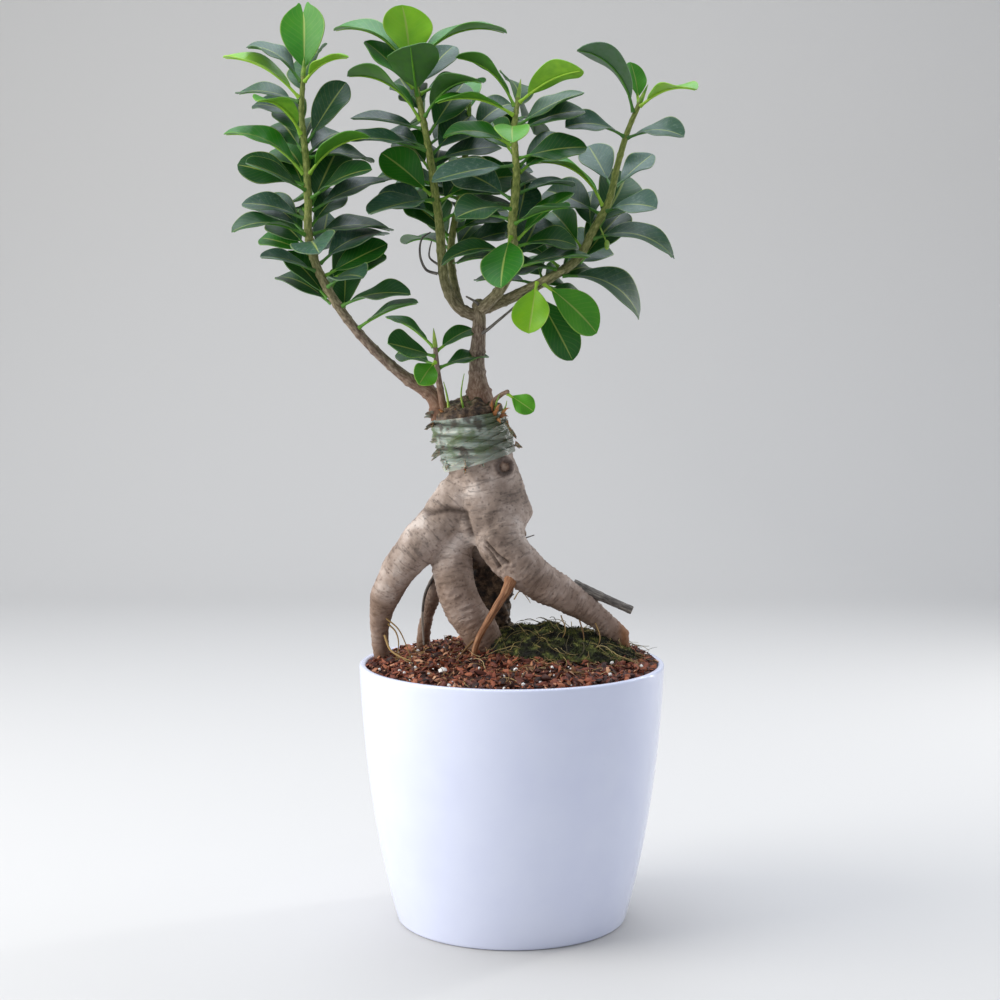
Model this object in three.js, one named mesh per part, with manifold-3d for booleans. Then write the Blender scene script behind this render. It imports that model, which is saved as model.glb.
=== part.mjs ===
// A grafted fig bonsai in a round plastic pot. A swollen rootstock stands on three bare
// roots over the soil, film binds the graft at its neck, and five leafy shoots grow above.
// Millimetres, +Z up, the origin at the middle of the pot's foot, -Y towards the viewer.

import * as THREE from 'three';
import { mergeVertices } from 'three/addons/utils/BufferGeometryUtils.js';
import Module from 'manifold-3d';

// Pot
const POT_HEIGHT = 128;
const RIM_RADIUS = 75;
const FOOT_RADIUS = 57;
const FOOT_CORNER = 2;
const WALL = 2.4;
const RIM_LIP = 0.8;
const FLOOR_TOP = 4.4;
const FOOT_RECESS = 1.5;
const FOOT_WIDTH = 8;
const PAD_RADIUS = 14;
const DRAIN_RADIUS = 4.5;
const DRAIN_CIRCLE = 30;
const DRAIN_COUNT = 5;

// Soil and moss
const SOIL_EDGE = 125;
const HEAP_HEIGHT = 11.5;
const HEAP_CENTRE = [8, 12];
const HEAP_SPREAD = 58;
const MOSS_CENTRE = [24, 0];
const MOSS_RADIUS = [37, 26];
const MOSS_HEIGHT = 7.5;

// Fits and leaf proportions
const GAP = 0.35;
const PETIOLE_SHARE = 0.13;
const PETIOLE_RADIUS = 0.8;
const MIDRIB_HALF = 0.45;
const LEAF_FOLD = 0.25;

const wasm = await Module();
wasm.setup();

const tree = new THREE.Group();

const FINISH = {
  pot: { color: 0xeff0f4, roughness: 0.22, metalness: 0 },
  soil: { color: 0x6b4a37, roughness: 0.95, metalness: 0 },
  moss: { color: 0x4d5a2c, roughness: 0.95, metalness: 0 },
  bark: { color: 0x9d9184, roughness: 0.8, metalness: 0 },
  stem: { color: 0x6e5a49, roughness: 0.8, metalness: 0 },
  film: { color: 0xb9c0b4, roughness: 0.35, metalness: 0 },
  leaf: { color: 0x2f5a2d, roughness: 0.35, metalness: 0 },
};

function addPiece(name, geometry, finish) {
  const mesh = new THREE.Mesh(geometry, new THREE.MeshStandardMaterial(FINISH[finish]));
  mesh.name = name;
  tree.add(mesh);
}

function toSolid(geometry) {
  const bare = geometry.clone();
  bare.deleteAttribute('normal');
  bare.deleteAttribute('uv');
  const merged = mergeVertices(bare, 1e-4);
  return new wasm.Manifold(new wasm.Mesh({
    numProp: 3,
    vertProperties: new Float32Array(merged.attributes.position.array),
    triVerts: new Uint32Array(merged.index.array),
  }));
}

function toGeometry(solid) {
  const mesh = solid.getMesh();
  const geometry = new THREE.BufferGeometry();
  geometry.setAttribute('position', new THREE.BufferAttribute(mesh.vertProperties, 3));
  geometry.setIndex(new THREE.BufferAttribute(mesh.triVerts, 1));
  return geometry;
}

// Moves every vertex of a geometry to where the given function sends it.
function reshape(geometry, send) {
  const place = geometry.attributes.position;
  const point = new THREE.Vector3();
  for (let i = 0; i < place.count; i += 1) {
    point.fromBufferAttribute(place, i);
    const moved = send(point);
    place.setXYZ(i, moved.x, moved.y, moved.z);
  }
  return geometry;
}

// ---------------------------------------------------------------- pot
// One injection-moulded shell: a rounded outside, an even wall, a lip at the rim and a
// flat floor that stands on a foot ring and a middle pad, with drainage holes between them.

const potSide = new THREE.QuadraticBezierCurve(
  new THREE.Vector2(FOOT_RADIUS, FOOT_CORNER),
  new THREE.Vector2(72.1, 56),
  new THREE.Vector2(RIM_RADIUS, POT_HEIGHT - 1),
);

// The pot's outer radius at a height, read off the side's curve.
function potRadius(height) {
  const points = potSide.getPoints(60);
  const next = Math.max(1, points.findIndex((p) => p.y >= height));
  const before = points[next - 1];
  const share = (height - before.y) / (points[next].y - before.y);
  return before.x + (points[next].x - before.x) * share;
}

// Lathe profiles lie in X and Y, and a lathe turns about Y, so each is stood up on Z.
function turned(profile, segments) {
  return new THREE.LatheGeometry(profile, segments).rotateX(Math.PI / 2);
}

function potGeometry() {
  const ringOutside = FOOT_RADIUS - FOOT_CORNER;
  const ringInside = ringOutside - FOOT_WIDTH;
  const outside = potSide.getPoints(8);
  const inside = potSide.getPoints(7)
    .map((p) => new THREE.Vector2(p.x - WALL, p.y))
    .filter((p) => p.y > FLOOR_TOP + 4 && p.y < POT_HEIGHT - 4)
    .reverse();
  const profile = [
    new THREE.Vector2(0, 0),
    new THREE.Vector2(PAD_RADIUS, 0),
    new THREE.Vector2(PAD_RADIUS, FOOT_RECESS),
    new THREE.Vector2(ringInside, FOOT_RECESS),
    new THREE.Vector2(ringInside, 0),
    new THREE.Vector2(ringOutside, 0),
    ...outside,
    new THREE.Vector2(RIM_RADIUS - 0.6, POT_HEIGHT),
    new THREE.Vector2(RIM_RADIUS - WALL - RIM_LIP + 0.4, POT_HEIGHT),
    new THREE.Vector2(RIM_RADIUS - WALL - RIM_LIP, POT_HEIGHT - 1),
    new THREE.Vector2(RIM_RADIUS - WALL - 0.2, POT_HEIGHT - 4),
    ...inside,
    new THREE.Vector2(potRadius(FLOOR_TOP) - WALL, FLOOR_TOP + 3),
    new THREE.Vector2(potRadius(FLOOR_TOP) - WALL - 3, FLOOR_TOP),
    new THREE.Vector2(0, FLOOR_TOP),
  ];
  let pot = toSolid(turned(profile, 40));
  for (let hole = 0; hole < DRAIN_COUNT; hole += 1) {
    const turn = (hole / DRAIN_COUNT) * 2 * Math.PI + Math.PI / 2;
    const drill = new THREE.CylinderGeometry(DRAIN_RADIUS, DRAIN_RADIUS, 20, 16);
    drill.rotateX(Math.PI / 2);
    drill.translate(DRAIN_CIRCLE * Math.cos(turn), DRAIN_CIRCLE * Math.sin(turn), 0);
    pot = pot.subtract(toSolid(drill));
  }
  return toGeometry(pot);
}

addPiece('pot', potGeometry(), 'pot');

// ---------------------------------------------------------------- limbs
// Every root and stem is a cylinder bent along a smooth curve, its radius changing
// evenly through a short list of radii from its start to its end.

function curveOf(points) {
  return new THREE.CatmullRomCurve3(points.map((p) => new THREE.Vector3(...p)));
}

function radiusAt(radii, along) {
  const place = along * (radii.length - 1);
  const first = Math.min(Math.floor(place), radii.length - 2);
  return THREE.MathUtils.lerp(radii[first], radii[first + 1], place - first);
}

function limbGeometry({ points, radii, sides = 10, steps = 10 }, extra = 0) {
  const route = curveOf(points);
  const frames = route.computeFrenetFrames(steps, false);
  const cylinder = new THREE.CylinderGeometry(1, 1, 1, sides, steps);
  return reshape(cylinder, (p) => {
    const along = p.y + 0.5;
    const step = Math.round(along * steps);
    const radius = radiusAt(radii, along) + extra;
    return route.getPointAt(along)
      .addScaledVector(frames.normals[step], p.x * radius)
      .addScaledVector(frames.binormals[step], -p.z * radius);
  });
}

function joined(limbs, extra = 0) {
  return limbs
    .map((limb) => toSolid(limbGeometry(limb, extra)))
    .reduce((whole, part) => whole.add(part));
}

// ---------------------------------------------------------------- rootstock
// The swollen trunk foot and its exposed roots grew as one piece, so they are one solid.

const ROOTSTOCK = [
  // the stump, cut flat for the graft, and the swollen body under it
  { points: [[-21.8, 0, 253], [-20.8, 0, 246], [-18.5, 0, 238], [-15.5, 0, 228],
    [-12.5, 1, 217], [-11, 2, 204], [-9, 4, 188]],
    radii: [16.8, 17.2, 16.6, 16.4, 18.6, 20.4, 14], sides: 14, steps: 12 },
  // left root
  { points: [[-17, 0, 222], [-24, 0, 210], [-35, -2, 197], [-44, -3, 187.5], [-54, -1, 175.5],
    [-61, 3, 163], [-65, 8, 150], [-65.5, 13, 136], [-62.5, 16, 112]],
    radii: [9.5, 13, 10.8, 10, 8.6, 6.8, 5, 4, 3.6], sides: 12, steps: 14 },
  // centre root
  { points: [[-22, 2, 200], [-29, 1, 184], [-28, -4, 167.5], [-23, -4, 154.5],
    [-15.5, -2, 142], [-11.5, 3, 130], [-10, 8, 111]],
    radii: [11, 10, 9.8, 9.5, 9, 8, 6], sides: 12, steps: 12 },
  // right root, which runs down over the heap to a blunt cut end
  { points: [[-12, 0, 212], [-7, -4, 199.5], [-5, -8, 188], [2.5, -9, 178], [13, -7, 169.5],
    [24.5, -4, 162.5], [35, -1, 156], [45, 2, 147.5], [54.5, 4, 138.5]],
    radii: [14, 13, 12.3, 11.2, 9.6, 8.6, 7.2, 5.9, 5.2], sides: 12, steps: 14 },
  // back root
  { points: [[-2, 5, 208], [-2, 12, 192], [-9, 17, 177.5], [-14, 20, 164.5], [-14, 22, 150],
    [-6, 25, 139], [-5, 25, 115]], radii: [9, 8.8, 8.5, 8, 7.5, 7, 5], sides: 9, steps: 10 },
  // thin root behind the left one
  { points: [[-27, 6, 182], [-36, 15, 167.5], [-41, 23, 152.5], [-44.5, 31, 137], [-45.5, 36, 114]],
    radii: [5, 4, 3.4, 3.2, 3], sides: 8, steps: 8 },
  // two feeder roots under the right root
  { points: [[44, 3, 146], [47, 5, 133], [46, 6, 113]], radii: [4, 2.4, 1.6],
    sides: 8, steps: 5 },
  { points: [[53, 4, 139], [55.5, 6, 128], [55, 7, 112]], radii: [4.4, 2.8, 1.8],
    sides: 8, steps: 5 },
  // aerial root hanging from the knob on the right root
  { points: [[0, -11, 175], [-1.5, -17, 168], [-9.5, -19, 154.5], [-17, -17, 140],
    [-20, -14, 122]], radii: [4.6, 2, 1.7, 1.5, 1.3], sides: 6, steps: 8 },
  // cut twig on the right root
  { points: [[30, -1, 166], [38, -2, 163], [59, -4, 154]], radii: [3, 2.2, 1.9],
    sides: 6, steps: 4 },
];

addPiece('rootstock', toGeometry(joined(ROOTSTOCK)), 'bark');
const rootstockSpace = joined(ROOTSTOCK, GAP);

// ---------------------------------------------------------------- soil and moss
// The soil fills the pot to just under the rim and rises in a low heap under the roots,
// which stand in sockets of their own. The moss cushion lies on the heap.

function soilTop(x, y) {
  const away = Math.hypot(x - HEAP_CENTRE[0], y - HEAP_CENTRE[1]);
  return SOIL_EDGE + HEAP_HEIGHT * Math.exp(-((away / HEAP_SPREAD) ** 2));
}

function soilGeometry() {
  const wallHeights = [FLOOR_TOP + 6, 30, 60, 95, SOIL_EDGE - 3];
  const wall = wallHeights.map((z) => new THREE.Vector2(potRadius(z) - WALL - 3 * GAP, z));
  const edge = wall[wall.length - 1].x;
  const rings = [0.985, 0.8, 0.62, 0.44, 0.26, 0.12, 0];
  const profile = [
    new THREE.Vector2(0, FLOOR_TOP + GAP),
    new THREE.Vector2(wall[0].x - 6, FLOOR_TOP + GAP),
    ...wall,
    ...rings.map((share) => new THREE.Vector2(edge * share, SOIL_EDGE)),
  ];
  return reshape(turned(profile, 36), (p) => {
    if (p.z > SOIL_EDGE - 1) {
      p.z = soilTop(p.x, p.y);
    }
    return p;
  });
}

addPiece('soil', toGeometry(toSolid(soilGeometry()).subtract(rootstockSpace)), 'soil');

// A flattened dome whose underside follows the soil, thick in the middle, thin at its edge.
function mossGeometry() {
  const dome = new THREE.SphereGeometry(1, 20, 8).rotateX(Math.PI / 2);
  return reshape(dome, (p) => {
    const x = MOSS_CENTRE[0] + p.x * MOSS_RADIUS[0];
    const y = MOSS_CENTRE[1] + p.y * MOSS_RADIUS[1];
    const lift = p.z > 0 ? p.z * MOSS_HEIGHT : p.z * 0.2;
    return new THREE.Vector3(x, y, soilTop(x, y) + 2 * GAP + 0.4 + lift);
  });
}

addPiece('moss_cushion', toGeometry(toSolid(mossGeometry()).subtract(rootstockSpace)), 'moss');

// ---------------------------------------------------------------- graft tape
// Clear film wound round the neck of the rootstock, over the foot of each scion.

const TAPE = { points: [[-21.4, 0, 248.5], [-20.4, 0, 243], [-18, 0, 236], [-15.3, 0, 227.5]],
  radii: [18.9, 18.8, 18.2, 18.2], sides: 20, steps: 5 };
addPiece('graft_tape', toGeometry(toSolid(limbGeometry(TAPE)).subtract(rootstockSpace)), 'film');

// ---------------------------------------------------------------- shoots and leaves
// Each shoot is a bent, tapered stem with its own leaves. A leaf row holds: how far along
// the stem it grows (0 to 1), the way it heads seen from above (degrees, 0 to +X, 270 to
// the viewer), how steeply it rises where it leaves the stem, its length, how far it
// arches down by its tip, how far it is rolled about its length, and its width / length.

const SHOOTS = [
  { name: 'trunk',
    points: [[-16, 0, 245], [-16, 0, 256], [-16.5, 0, 264], [-17, 0, 275], [-16, 0, 290],
      [-16, 0, 304]],
    radii: [9, 7.2, 4, 3.6, 3.3, 3.1], leaves: [] },
  { name: 'shoot_left',
    points: [[-34, -1, 247], [-38, -1, 258.5], [-51.5, -3, 268], [-66, -7, 281],
      [-80, -11, 297.5], [-92, -13.5, 318], [-97, -14, 336], [-97, -14, 353], [-98, -13, 371],
      [-100, -12, 393], [-99, -12, 412]],
    radii: [5.2, 3.4, 2.5, 2.3, 2.2, 2.1, 2, 1.8, 1.6, 1.4, 1.1], steps: 18,
    leaves: [
      [0.99, 75, 88, 36, 10, 0, 0.66],
      [0.98, 180, 65, 34, 70, -20, 0.5],
      [0.94, 190, 55, 43, 60, -30, 0.42],
      [0.85, 230, 65, 33, 80, 0, 0.55],
      [0.83, 25, 60, 37, 20, 40, 0.45],
      [0.75, 190, 60, 45, 70, -25, 0.48],
      [0.75, 325, 55, 37, 60, 20, 0.55],
      [0.71, 225, 25, 33, 20, -40, 0.6],
      [0.69, 330, 35, 35, 30, 30, 0.55],
      [0.66, 15, 35, 41, 30, 30, 0.45],
      [0.60, 215, 30, 38, 60, -20, 0.5],
      [0.60, 20, 20, 43, 40, 30, 0.5],
      [0.57, 275, 15, 33, 50, 15, 0.66],
      [0.51, 220, 25, 29, 30, -35, 0.58],
      [0.38, 88, 65, 30, 20, 0, 0.55],
      [0.33, 335, 35, 33, 30, 20, 0.5],
    ] },
  { name: 'shoot_centre_left',
    points: [[-16, 0, 297], [-26, 1, 302], [-32, 3, 312], [-34, 2, 325], [-35, 1, 341],
      [-37, 0, 356], [-40, -2, 377], [-44, -3, 398], [-49, -3, 418]],
    radii: [3, 2.6, 2.3, 2.2, 2, 1.8, 1.6, 1.4, 1.1], steps: 16,
    leaves: [
      [0.99, 110, 86, 30, 10, 0, 0.8],
      [0.99, 180, 65, 45, 80, -20, 0.5],
      [0.98, 0, 60, 53, 80, 20, 0.42],
      [0.88, 262, 50, 31, 20, 0, 0.8],
      [0.80, 320, 60, 41, 80, 0, 0.5],
      [0.79, 190, 70, 45, 80, -20, 0.5],
      [0.68, 205, 20, 39, 30, -15, 0.5],
      [0.50, 225, -5, 38, 20, -25, 0.62],
    ] },
  { name: 'shoot_back',
    points: [[-25, 3, 302], [-27.5, 9, 310], [-30, 17, 326], [-29, 20, 340], [-25, 22, 358],
      [-23, 20, 379], [-21, 16, 396]],
    radii: [2.2, 2, 1.8, 1.6, 1.3, 1], steps: 10,
    leaves: [
      [0.98, 100, 60, 34, 40, 0, 0.55],
      [0.80, 60, 40, 38, 50, 0, 0.5],
      [0.50, 75, 35, 38, 50, 0, 0.5],
      [0.34, 130, 30, 36, 50, 0, 0.5],
    ] },
  { name: 'shoot_centre_right',
    points: [[-15, -2, 301], [-6, -8, 310], [0, -12, 323], [0, -14, 341], [2, -14, 362],
      [1, -12, 386], [3, -10, 402]],
    radii: [2.8, 2.6, 2.3, 2.1, 1.8, 1.5, 1.1], steps: 12,
    leaves: [
      [0.97, 330, 40, 37, 40, -20, 0.5],
      [0.91, 205, 35, 39, 60, -15, 0.42],
      [0.69, 25, 50, 37, 60, 20, 0.5],
      [0.69, 195, -5, 39, 20, -35, 0.6],
      [0.44, 315, 25, 32, 30, 20, 0.5],
      [0.38, 256, -32, 37, 20, 0, 0.58],
    ] },
  { name: 'shoot_right',
    points: [[-14, 1, 301], [3, 3, 308], [19, 4, 316.5], [32, 6, 325.5], [40, 6, 340],
      [47, 6, 353], [51, 4, 370], [56, 2, 387], [62, 0, 401]],
    radii: [2.8, 2.6, 2.4, 2.2, 2, 1.8, 1.6, 1.4, 1.1], steps: 16,
    leaves: [
      [0.98, 320, 40, 33, 60, 0, 0.5],
      [0.95, 205, 85, 46, 90, 0, 0.4],
      [0.68, 40, 38, 31, 10, 15, 0.45],
      [0.60, 170, 75, 45, 90, 0, 0.35],
      [0.57, 150, 30, 36, 30, -40, 0.62],
      [0.48, 340, 22, 43, 80, 35, 0.55],
      [0.31, 0, 8, 49, 80, 35, 0.48],
    ] },
  { name: 'twig_low',
    points: [[-4, 2, 306], [9, -8, 312], [24, -14, 319]], radii: [1.8, 1.6, 1.2], steps: 6,
    leaves: [
      [0.62, 250, -65, 26, 10, 0, 0.72],
      [0.67, 355, -35, 35, 20, 60, 0.58],
    ] },
  { name: 'sucker_front',
    points: [[-32, -4, 247], [-34, -6, 258], [-36, -10, 272], [-37, -12, 284]],
    radii: [1.9, 1.7, 1.4, 1], steps: 6,
    leaves: [
      [0.97, 155, 50, 29, 40, 0, 0.35],
      [0.86, 220, 15, 26, 10, -40, 0.74],
    ] },
  { name: 'sucker_right',
    points: [[-11, -6, 248], [-9, -8, 256], [-5, -10, 260], [-2, -12, 261.5]],
    radii: [2.2, 1.6, 1.2, 0.9], steps: 6,
    leaves: [[0.95, 340, -30, 15, 20, 65, 0.68]] },
];

// Half the width of a blade of full width 1, at a share of the leaf's length: a thin
// stalk, then an outline that is broadest past its middle and blunt at its tip.
function bladeHalf(share) {
  const blade = Math.max(0, (share - PETIOLE_SHARE) / (1 - PETIOLE_SHARE));
  return 0.5 * Math.sin(Math.PI * blade ** 1.25) ** 0.7;
}

function leafGeometry(shoot, row) {
  const [along, heading, rise, length, arch, roll, width] = row;
  const route = curveOf(shoot.points);
  const tangent = route.getTangentAt(along);
  const turn = THREE.MathUtils.degToRad(heading);
  const climb = THREE.MathUtils.degToRad(rise);
  const bend = THREE.MathUtils.degToRad(Math.max(arch, 1));
  const flat = new THREE.Vector3(Math.cos(turn), Math.sin(turn), 0);
  const up = new THREE.Vector3(0, 0, 1);
  const ahead = flat.clone().multiplyScalar(Math.cos(climb)).addScaledVector(up, Math.sin(climb));
  const top = up.clone().multiplyScalar(Math.cos(climb)).addScaledVector(flat, -Math.sin(climb));
  top.applyAxisAngle(ahead, THREE.MathUtils.degToRad(roll));
  const side = new THREE.Vector3().crossVectors(top, ahead);
  const out = flat.clone().addScaledVector(tangent, -flat.dot(tangent)).normalize();
  const start = route.getPointAt(along)
    .addScaledVector(out, radiusAt(shoot.radii, along) + GAP + 0.25);
  const blob = new THREE.SphereGeometry(1, 4, 9);
  return reshape(blob, (p) => {
    const share = Math.acos(THREE.MathUtils.clamp(p.y, -1, 1)) / Math.PI;
    const ring = Math.max(Math.sin(share * Math.PI), 1e-6);
    const reach = (length / bend) * Math.sin(bend * share);
    const drop = (length / bend) * (1 - Math.cos(bend * share));
    const normal = top.clone().multiplyScalar(Math.cos(bend * share))
      .addScaledVector(ahead, Math.sin(bend * share));
    const pole = share < 1e-4 || share > 1 - 1e-4;
    const half = pole ? 0 : Math.max(bladeHalf(share) * width * length, PETIOLE_RADIUS);
    const thick = share < PETIOLE_SHARE ? PETIOLE_RADIUS : MIDRIB_HALF;
    const across = p.x / ring;
    const through = pole ? 0 : p.z / ring;
    return start.clone()
      .addScaledVector(ahead, reach)
      .addScaledVector(top, -drop)
      .addScaledVector(side, across * half)
      .addScaledVector(normal, through * thick + Math.abs(across) * half * LEAF_FOLD);
  });
}

let grown = joined(ROOTSTOCK, GAP);
for (const shoot of SHOOTS) {
  const stem = toSolid(limbGeometry({ sides: 8, ...shoot }));
  addPiece(shoot.name, toGeometry(stem.subtract(grown)), 'stem');
  grown = grown.add(toSolid(limbGeometry({ sides: 8, ...shoot }, GAP)));
  shoot.leaves.forEach((row, i) => {
    const place = String(i + 1).padStart(2, '0');
    addPiece(`leaf_${shoot.name}_${place}`, leafGeometry(shoot, row), 'leaf');
  });
}

export default tree;
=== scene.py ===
# A grafted fig bonsai in a round white plastic pot: the looks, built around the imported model.
# Sizes are in millimetres and turned into metres where a mesh is made.

import math
import random

import bmesh
import bpy
import numpy as np
from mathutils import Matrix, Vector, noise
from mathutils.bvhtree import BVHTree


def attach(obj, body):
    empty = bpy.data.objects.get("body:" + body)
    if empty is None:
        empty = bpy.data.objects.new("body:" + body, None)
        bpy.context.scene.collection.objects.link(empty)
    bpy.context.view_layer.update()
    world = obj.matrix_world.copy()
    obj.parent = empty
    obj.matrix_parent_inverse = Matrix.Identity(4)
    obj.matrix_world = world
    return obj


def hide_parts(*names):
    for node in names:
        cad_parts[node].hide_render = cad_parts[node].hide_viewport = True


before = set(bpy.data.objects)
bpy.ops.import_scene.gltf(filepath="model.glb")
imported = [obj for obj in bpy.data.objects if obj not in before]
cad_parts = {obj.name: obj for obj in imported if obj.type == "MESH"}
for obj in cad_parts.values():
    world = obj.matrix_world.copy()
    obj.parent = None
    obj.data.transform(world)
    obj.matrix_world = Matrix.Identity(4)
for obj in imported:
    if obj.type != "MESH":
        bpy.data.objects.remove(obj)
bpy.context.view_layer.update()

# ---------------------------------------------------------------- studio
# A pale sheet that sweeps up behind the plant, lit as by a big window on the left, a
# softer sky above and a narrow window behind on the right. Matt paper, no pattern.

MM = 0.001
scene = bpy.context.scene
scene.view_settings.view_transform = "Standard"


def linear(code):
    """An sRGB hex colour as linear red, green, blue and alpha."""
    parts = [int(code[i:i + 2], 16) / 255 for i in (1, 3, 5)]
    return [c / 12.92 if c <= 0.04045 else ((c + 0.055) / 1.055) ** 2.4 for c in parts] + [1.0]


def fill(tree, node, sockets):
    """Gives a node's sockets their values, or links them to a socket or to a node's output."""
    for name, value in sockets.items():
        if isinstance(value, bpy.types.Node):
            value = next(socket for socket in value.outputs if socket.enabled)
        if isinstance(value, bpy.types.NodeSocket):
            tree.links.new(value, node.inputs[name])
        else:
            node.inputs[name].default_value = value


def add(tree, kind, sockets=None, **settings):
    """Adds a shader node, sets its settings, and fills its sockets with values or links."""
    node = tree.nodes.new("ShaderNode" + kind)
    for name, value in settings.items():
        setattr(node, name, value)
    fill(tree, node, sockets or {})
    return node


def colour_bands(node, bands):
    """Gives a colour ramp node its bands, a list of place and hex colour, and returns it."""
    ramp = node.color_ramp
    while len(ramp.elements) < len(bands):
        ramp.elements.new(0.5)
    for element, (place, code) in zip(ramp.elements, bands):
        element.position = place
        element.color = linear(code)
    return node


def new_finish(name):
    """A new material and its node tree."""
    finish = bpy.data.materials.new(name)
    finish.use_nodes = True
    return finish, finish.node_tree


def make_piece(name, shape, *materials):
    """Turns a bmesh into an object at the origin, smooth but for its sharp edges."""
    mesh = bpy.data.meshes.new(name)
    shape.to_mesh(mesh)
    shape.free()
    for material in materials:
        mesh.materials.append(material)
    mesh.shade_smooth()
    mesh.set_sharp_from_angle(angle=math.radians(50))
    piece = bpy.data.objects.new(name, mesh)
    scene.collection.objects.link(piece)
    return piece


CAMERA_PLACE = (-5.8, -934, 293)
CAMERA_TILT = 5.2
camera = bpy.data.objects.new("camera", bpy.data.cameras.new("camera"))
camera.data.sensor_width = 36
camera.data.lens = 68.94
camera.data.clip_start = 0.01
camera.location = Vector(CAMERA_PLACE) * MM
camera.rotation_euler = (math.radians(90 - CAMERA_TILT), 0, 0)
scene.collection.objects.link(camera)
scene.camera = camera

paper, tree = new_finish("matt_backdrop_paper")
fill(tree, tree.nodes["Principled BSDF"], {"Base Color": linear("#d0ceca"), "Roughness": 0.9})

SWEEP_FRONT, SWEEP_BACK, SWEEP_HALF, SWEEP_CURVE, SWEEP_TOP = -1600, 1100, 2200, 500, 2400
sweep = bmesh.new()
edge_row = [sweep.verts.new((-SWEEP_HALF * MM, SWEEP_FRONT * MM, 0))]
edge_row += [
    sweep.verts.new((-SWEEP_HALF * MM,
                     (SWEEP_BACK + SWEEP_CURVE * math.sin(math.radians(turn))) * MM,
                     SWEEP_CURVE * (1 - math.cos(math.radians(turn))) * MM))
    for turn in range(0, 91, 6)
]
edge_row.append(sweep.verts.new((-SWEEP_HALF * MM, (SWEEP_BACK + SWEEP_CURVE) * MM, SWEEP_TOP * MM)))
row_edges = [sweep.edges.new(pair) for pair in zip(edge_row, edge_row[1:])]
pulled = bmesh.ops.extrude_edge_only(sweep, edges=row_edges)["geom"]
pulled_verts = [item for item in pulled if isinstance(item, bmesh.types.BMVert)]
bmesh.ops.translate(sweep, verts=pulled_verts, vec=(2 * SWEEP_HALF * MM, 0, 0))
backdrop = make_piece("backdrop", sweep, paper)

scene.world = bpy.data.worlds.new("room")
scene.world.use_nodes = True
room = scene.world.node_tree.nodes["Background"]
room.inputs["Color"].default_value = linear("#e6ebf5")
room.inputs["Strength"].default_value = 0.6

# each window: name, place, the point it faces, width, height, watts, colour
WINDOWS = [
    ("window_left", (-1200, -260, 620), (0, 0, 180), 900, 1300, 16, "#fffdf8"),
    ("sky_above", (-150, 200, 1350), (0, 0, 200), 1300, 1000, 15, "#eaf1ff"),
    ("window_back_right", (820, 560, 330), (40, 0, 90), 36, 900, 3.6, "#ffffff"),
]
for name, place, target, width, height, watts, code in WINDOWS:
    lamp = bpy.data.lights.new(name, "AREA")
    lamp.shape = "RECTANGLE"
    lamp.size = width * MM
    lamp.size_y = height * MM
    lamp.energy = watts
    lamp.color = linear(code)[:3]
    window = bpy.data.objects.new(name, lamp)
    window.location = Vector(place) * MM
    window.rotation_euler = (Vector(target) - Vector(place)).to_track_quat("-Z", "Y").to_euler()
    scene.collection.objects.link(window)

# ---------------------------------------------------------------- pot
# A 150 mm nursery pot, injection-moulded in one shot of white polypropylene: a thin even
# wall that bellies out from a rounded foot, a thickened lip, and holes drilled in its floor.

POT_HEIGHT, RIM_RADIUS, FOOT_RADIUS, FOOT_CORNER = 128, 75, 57, 2
WALL, RIM_WIDTH, RIM_ROUND = 2.4, 3.2, 1.2
FLOOR_TOP, FOOT_RECESS, FOOT_WIDTH, PAD_RADIUS, EDGE_ROUND = 4.4, 1.5, 8, 14, 0.5
DRAIN_RADIUS, DRAIN_CIRCLE, DRAIN_COUNT = 4.5, 30, 5
BELLY, POT_STEPS = (72.1, 56), 180


def arc(centre, radius, start, end, steps=5):
    """Points along a round stretch of an outline, its angles in degrees."""
    turns = [math.radians(start + (end - start) * step / steps) for step in range(steps + 1)]
    return [(centre[0] + radius * math.cos(t), centre[1] + radius * math.sin(t)) for t in turns]


def pot_side(share):
    """The belly of the pot's side, from the foot's corner to the rim: a radius and a height."""
    foot, rim = (FOOT_RADIUS, FOOT_CORNER), (RIM_RADIUS, POT_HEIGHT - RIM_ROUND)
    weights = (1 - share) ** 2, 2 * share * (1 - share), share ** 2
    return tuple(sum(w * p[axis] for w, p in zip(weights, (foot, BELLY, rim))) for axis in (0, 1))


def pot_radius(height):
    """The pot's outer radius at a height."""
    side = [pot_side(step / 60) for step in range(61)]
    return float(np.interp(height, [z for _, z in side], [r for r, _ in side]))


def turned(profile, steps):
    """Spins an outline of radius and height once round the pot's axis into a closed skin."""
    shape = bmesh.new()
    corners = [shape.verts.new((r * MM, 0, z * MM)) for r, z in profile]
    lines = [shape.edges.new(pair) for pair in zip(corners, corners[1:])]
    bmesh.ops.spin(shape, geom=corners + lines, cent=(0, 0, 0), axis=(0, 0, 1), dvec=(0, 0, 0),
        angle=2 * math.pi, steps=steps, use_merge=True)
    bmesh.ops.remove_doubles(shape, verts=shape.verts, dist=0.01 * MM)
    bmesh.ops.recalc_face_normals(shape, faces=shape.faces)
    return shape


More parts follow.
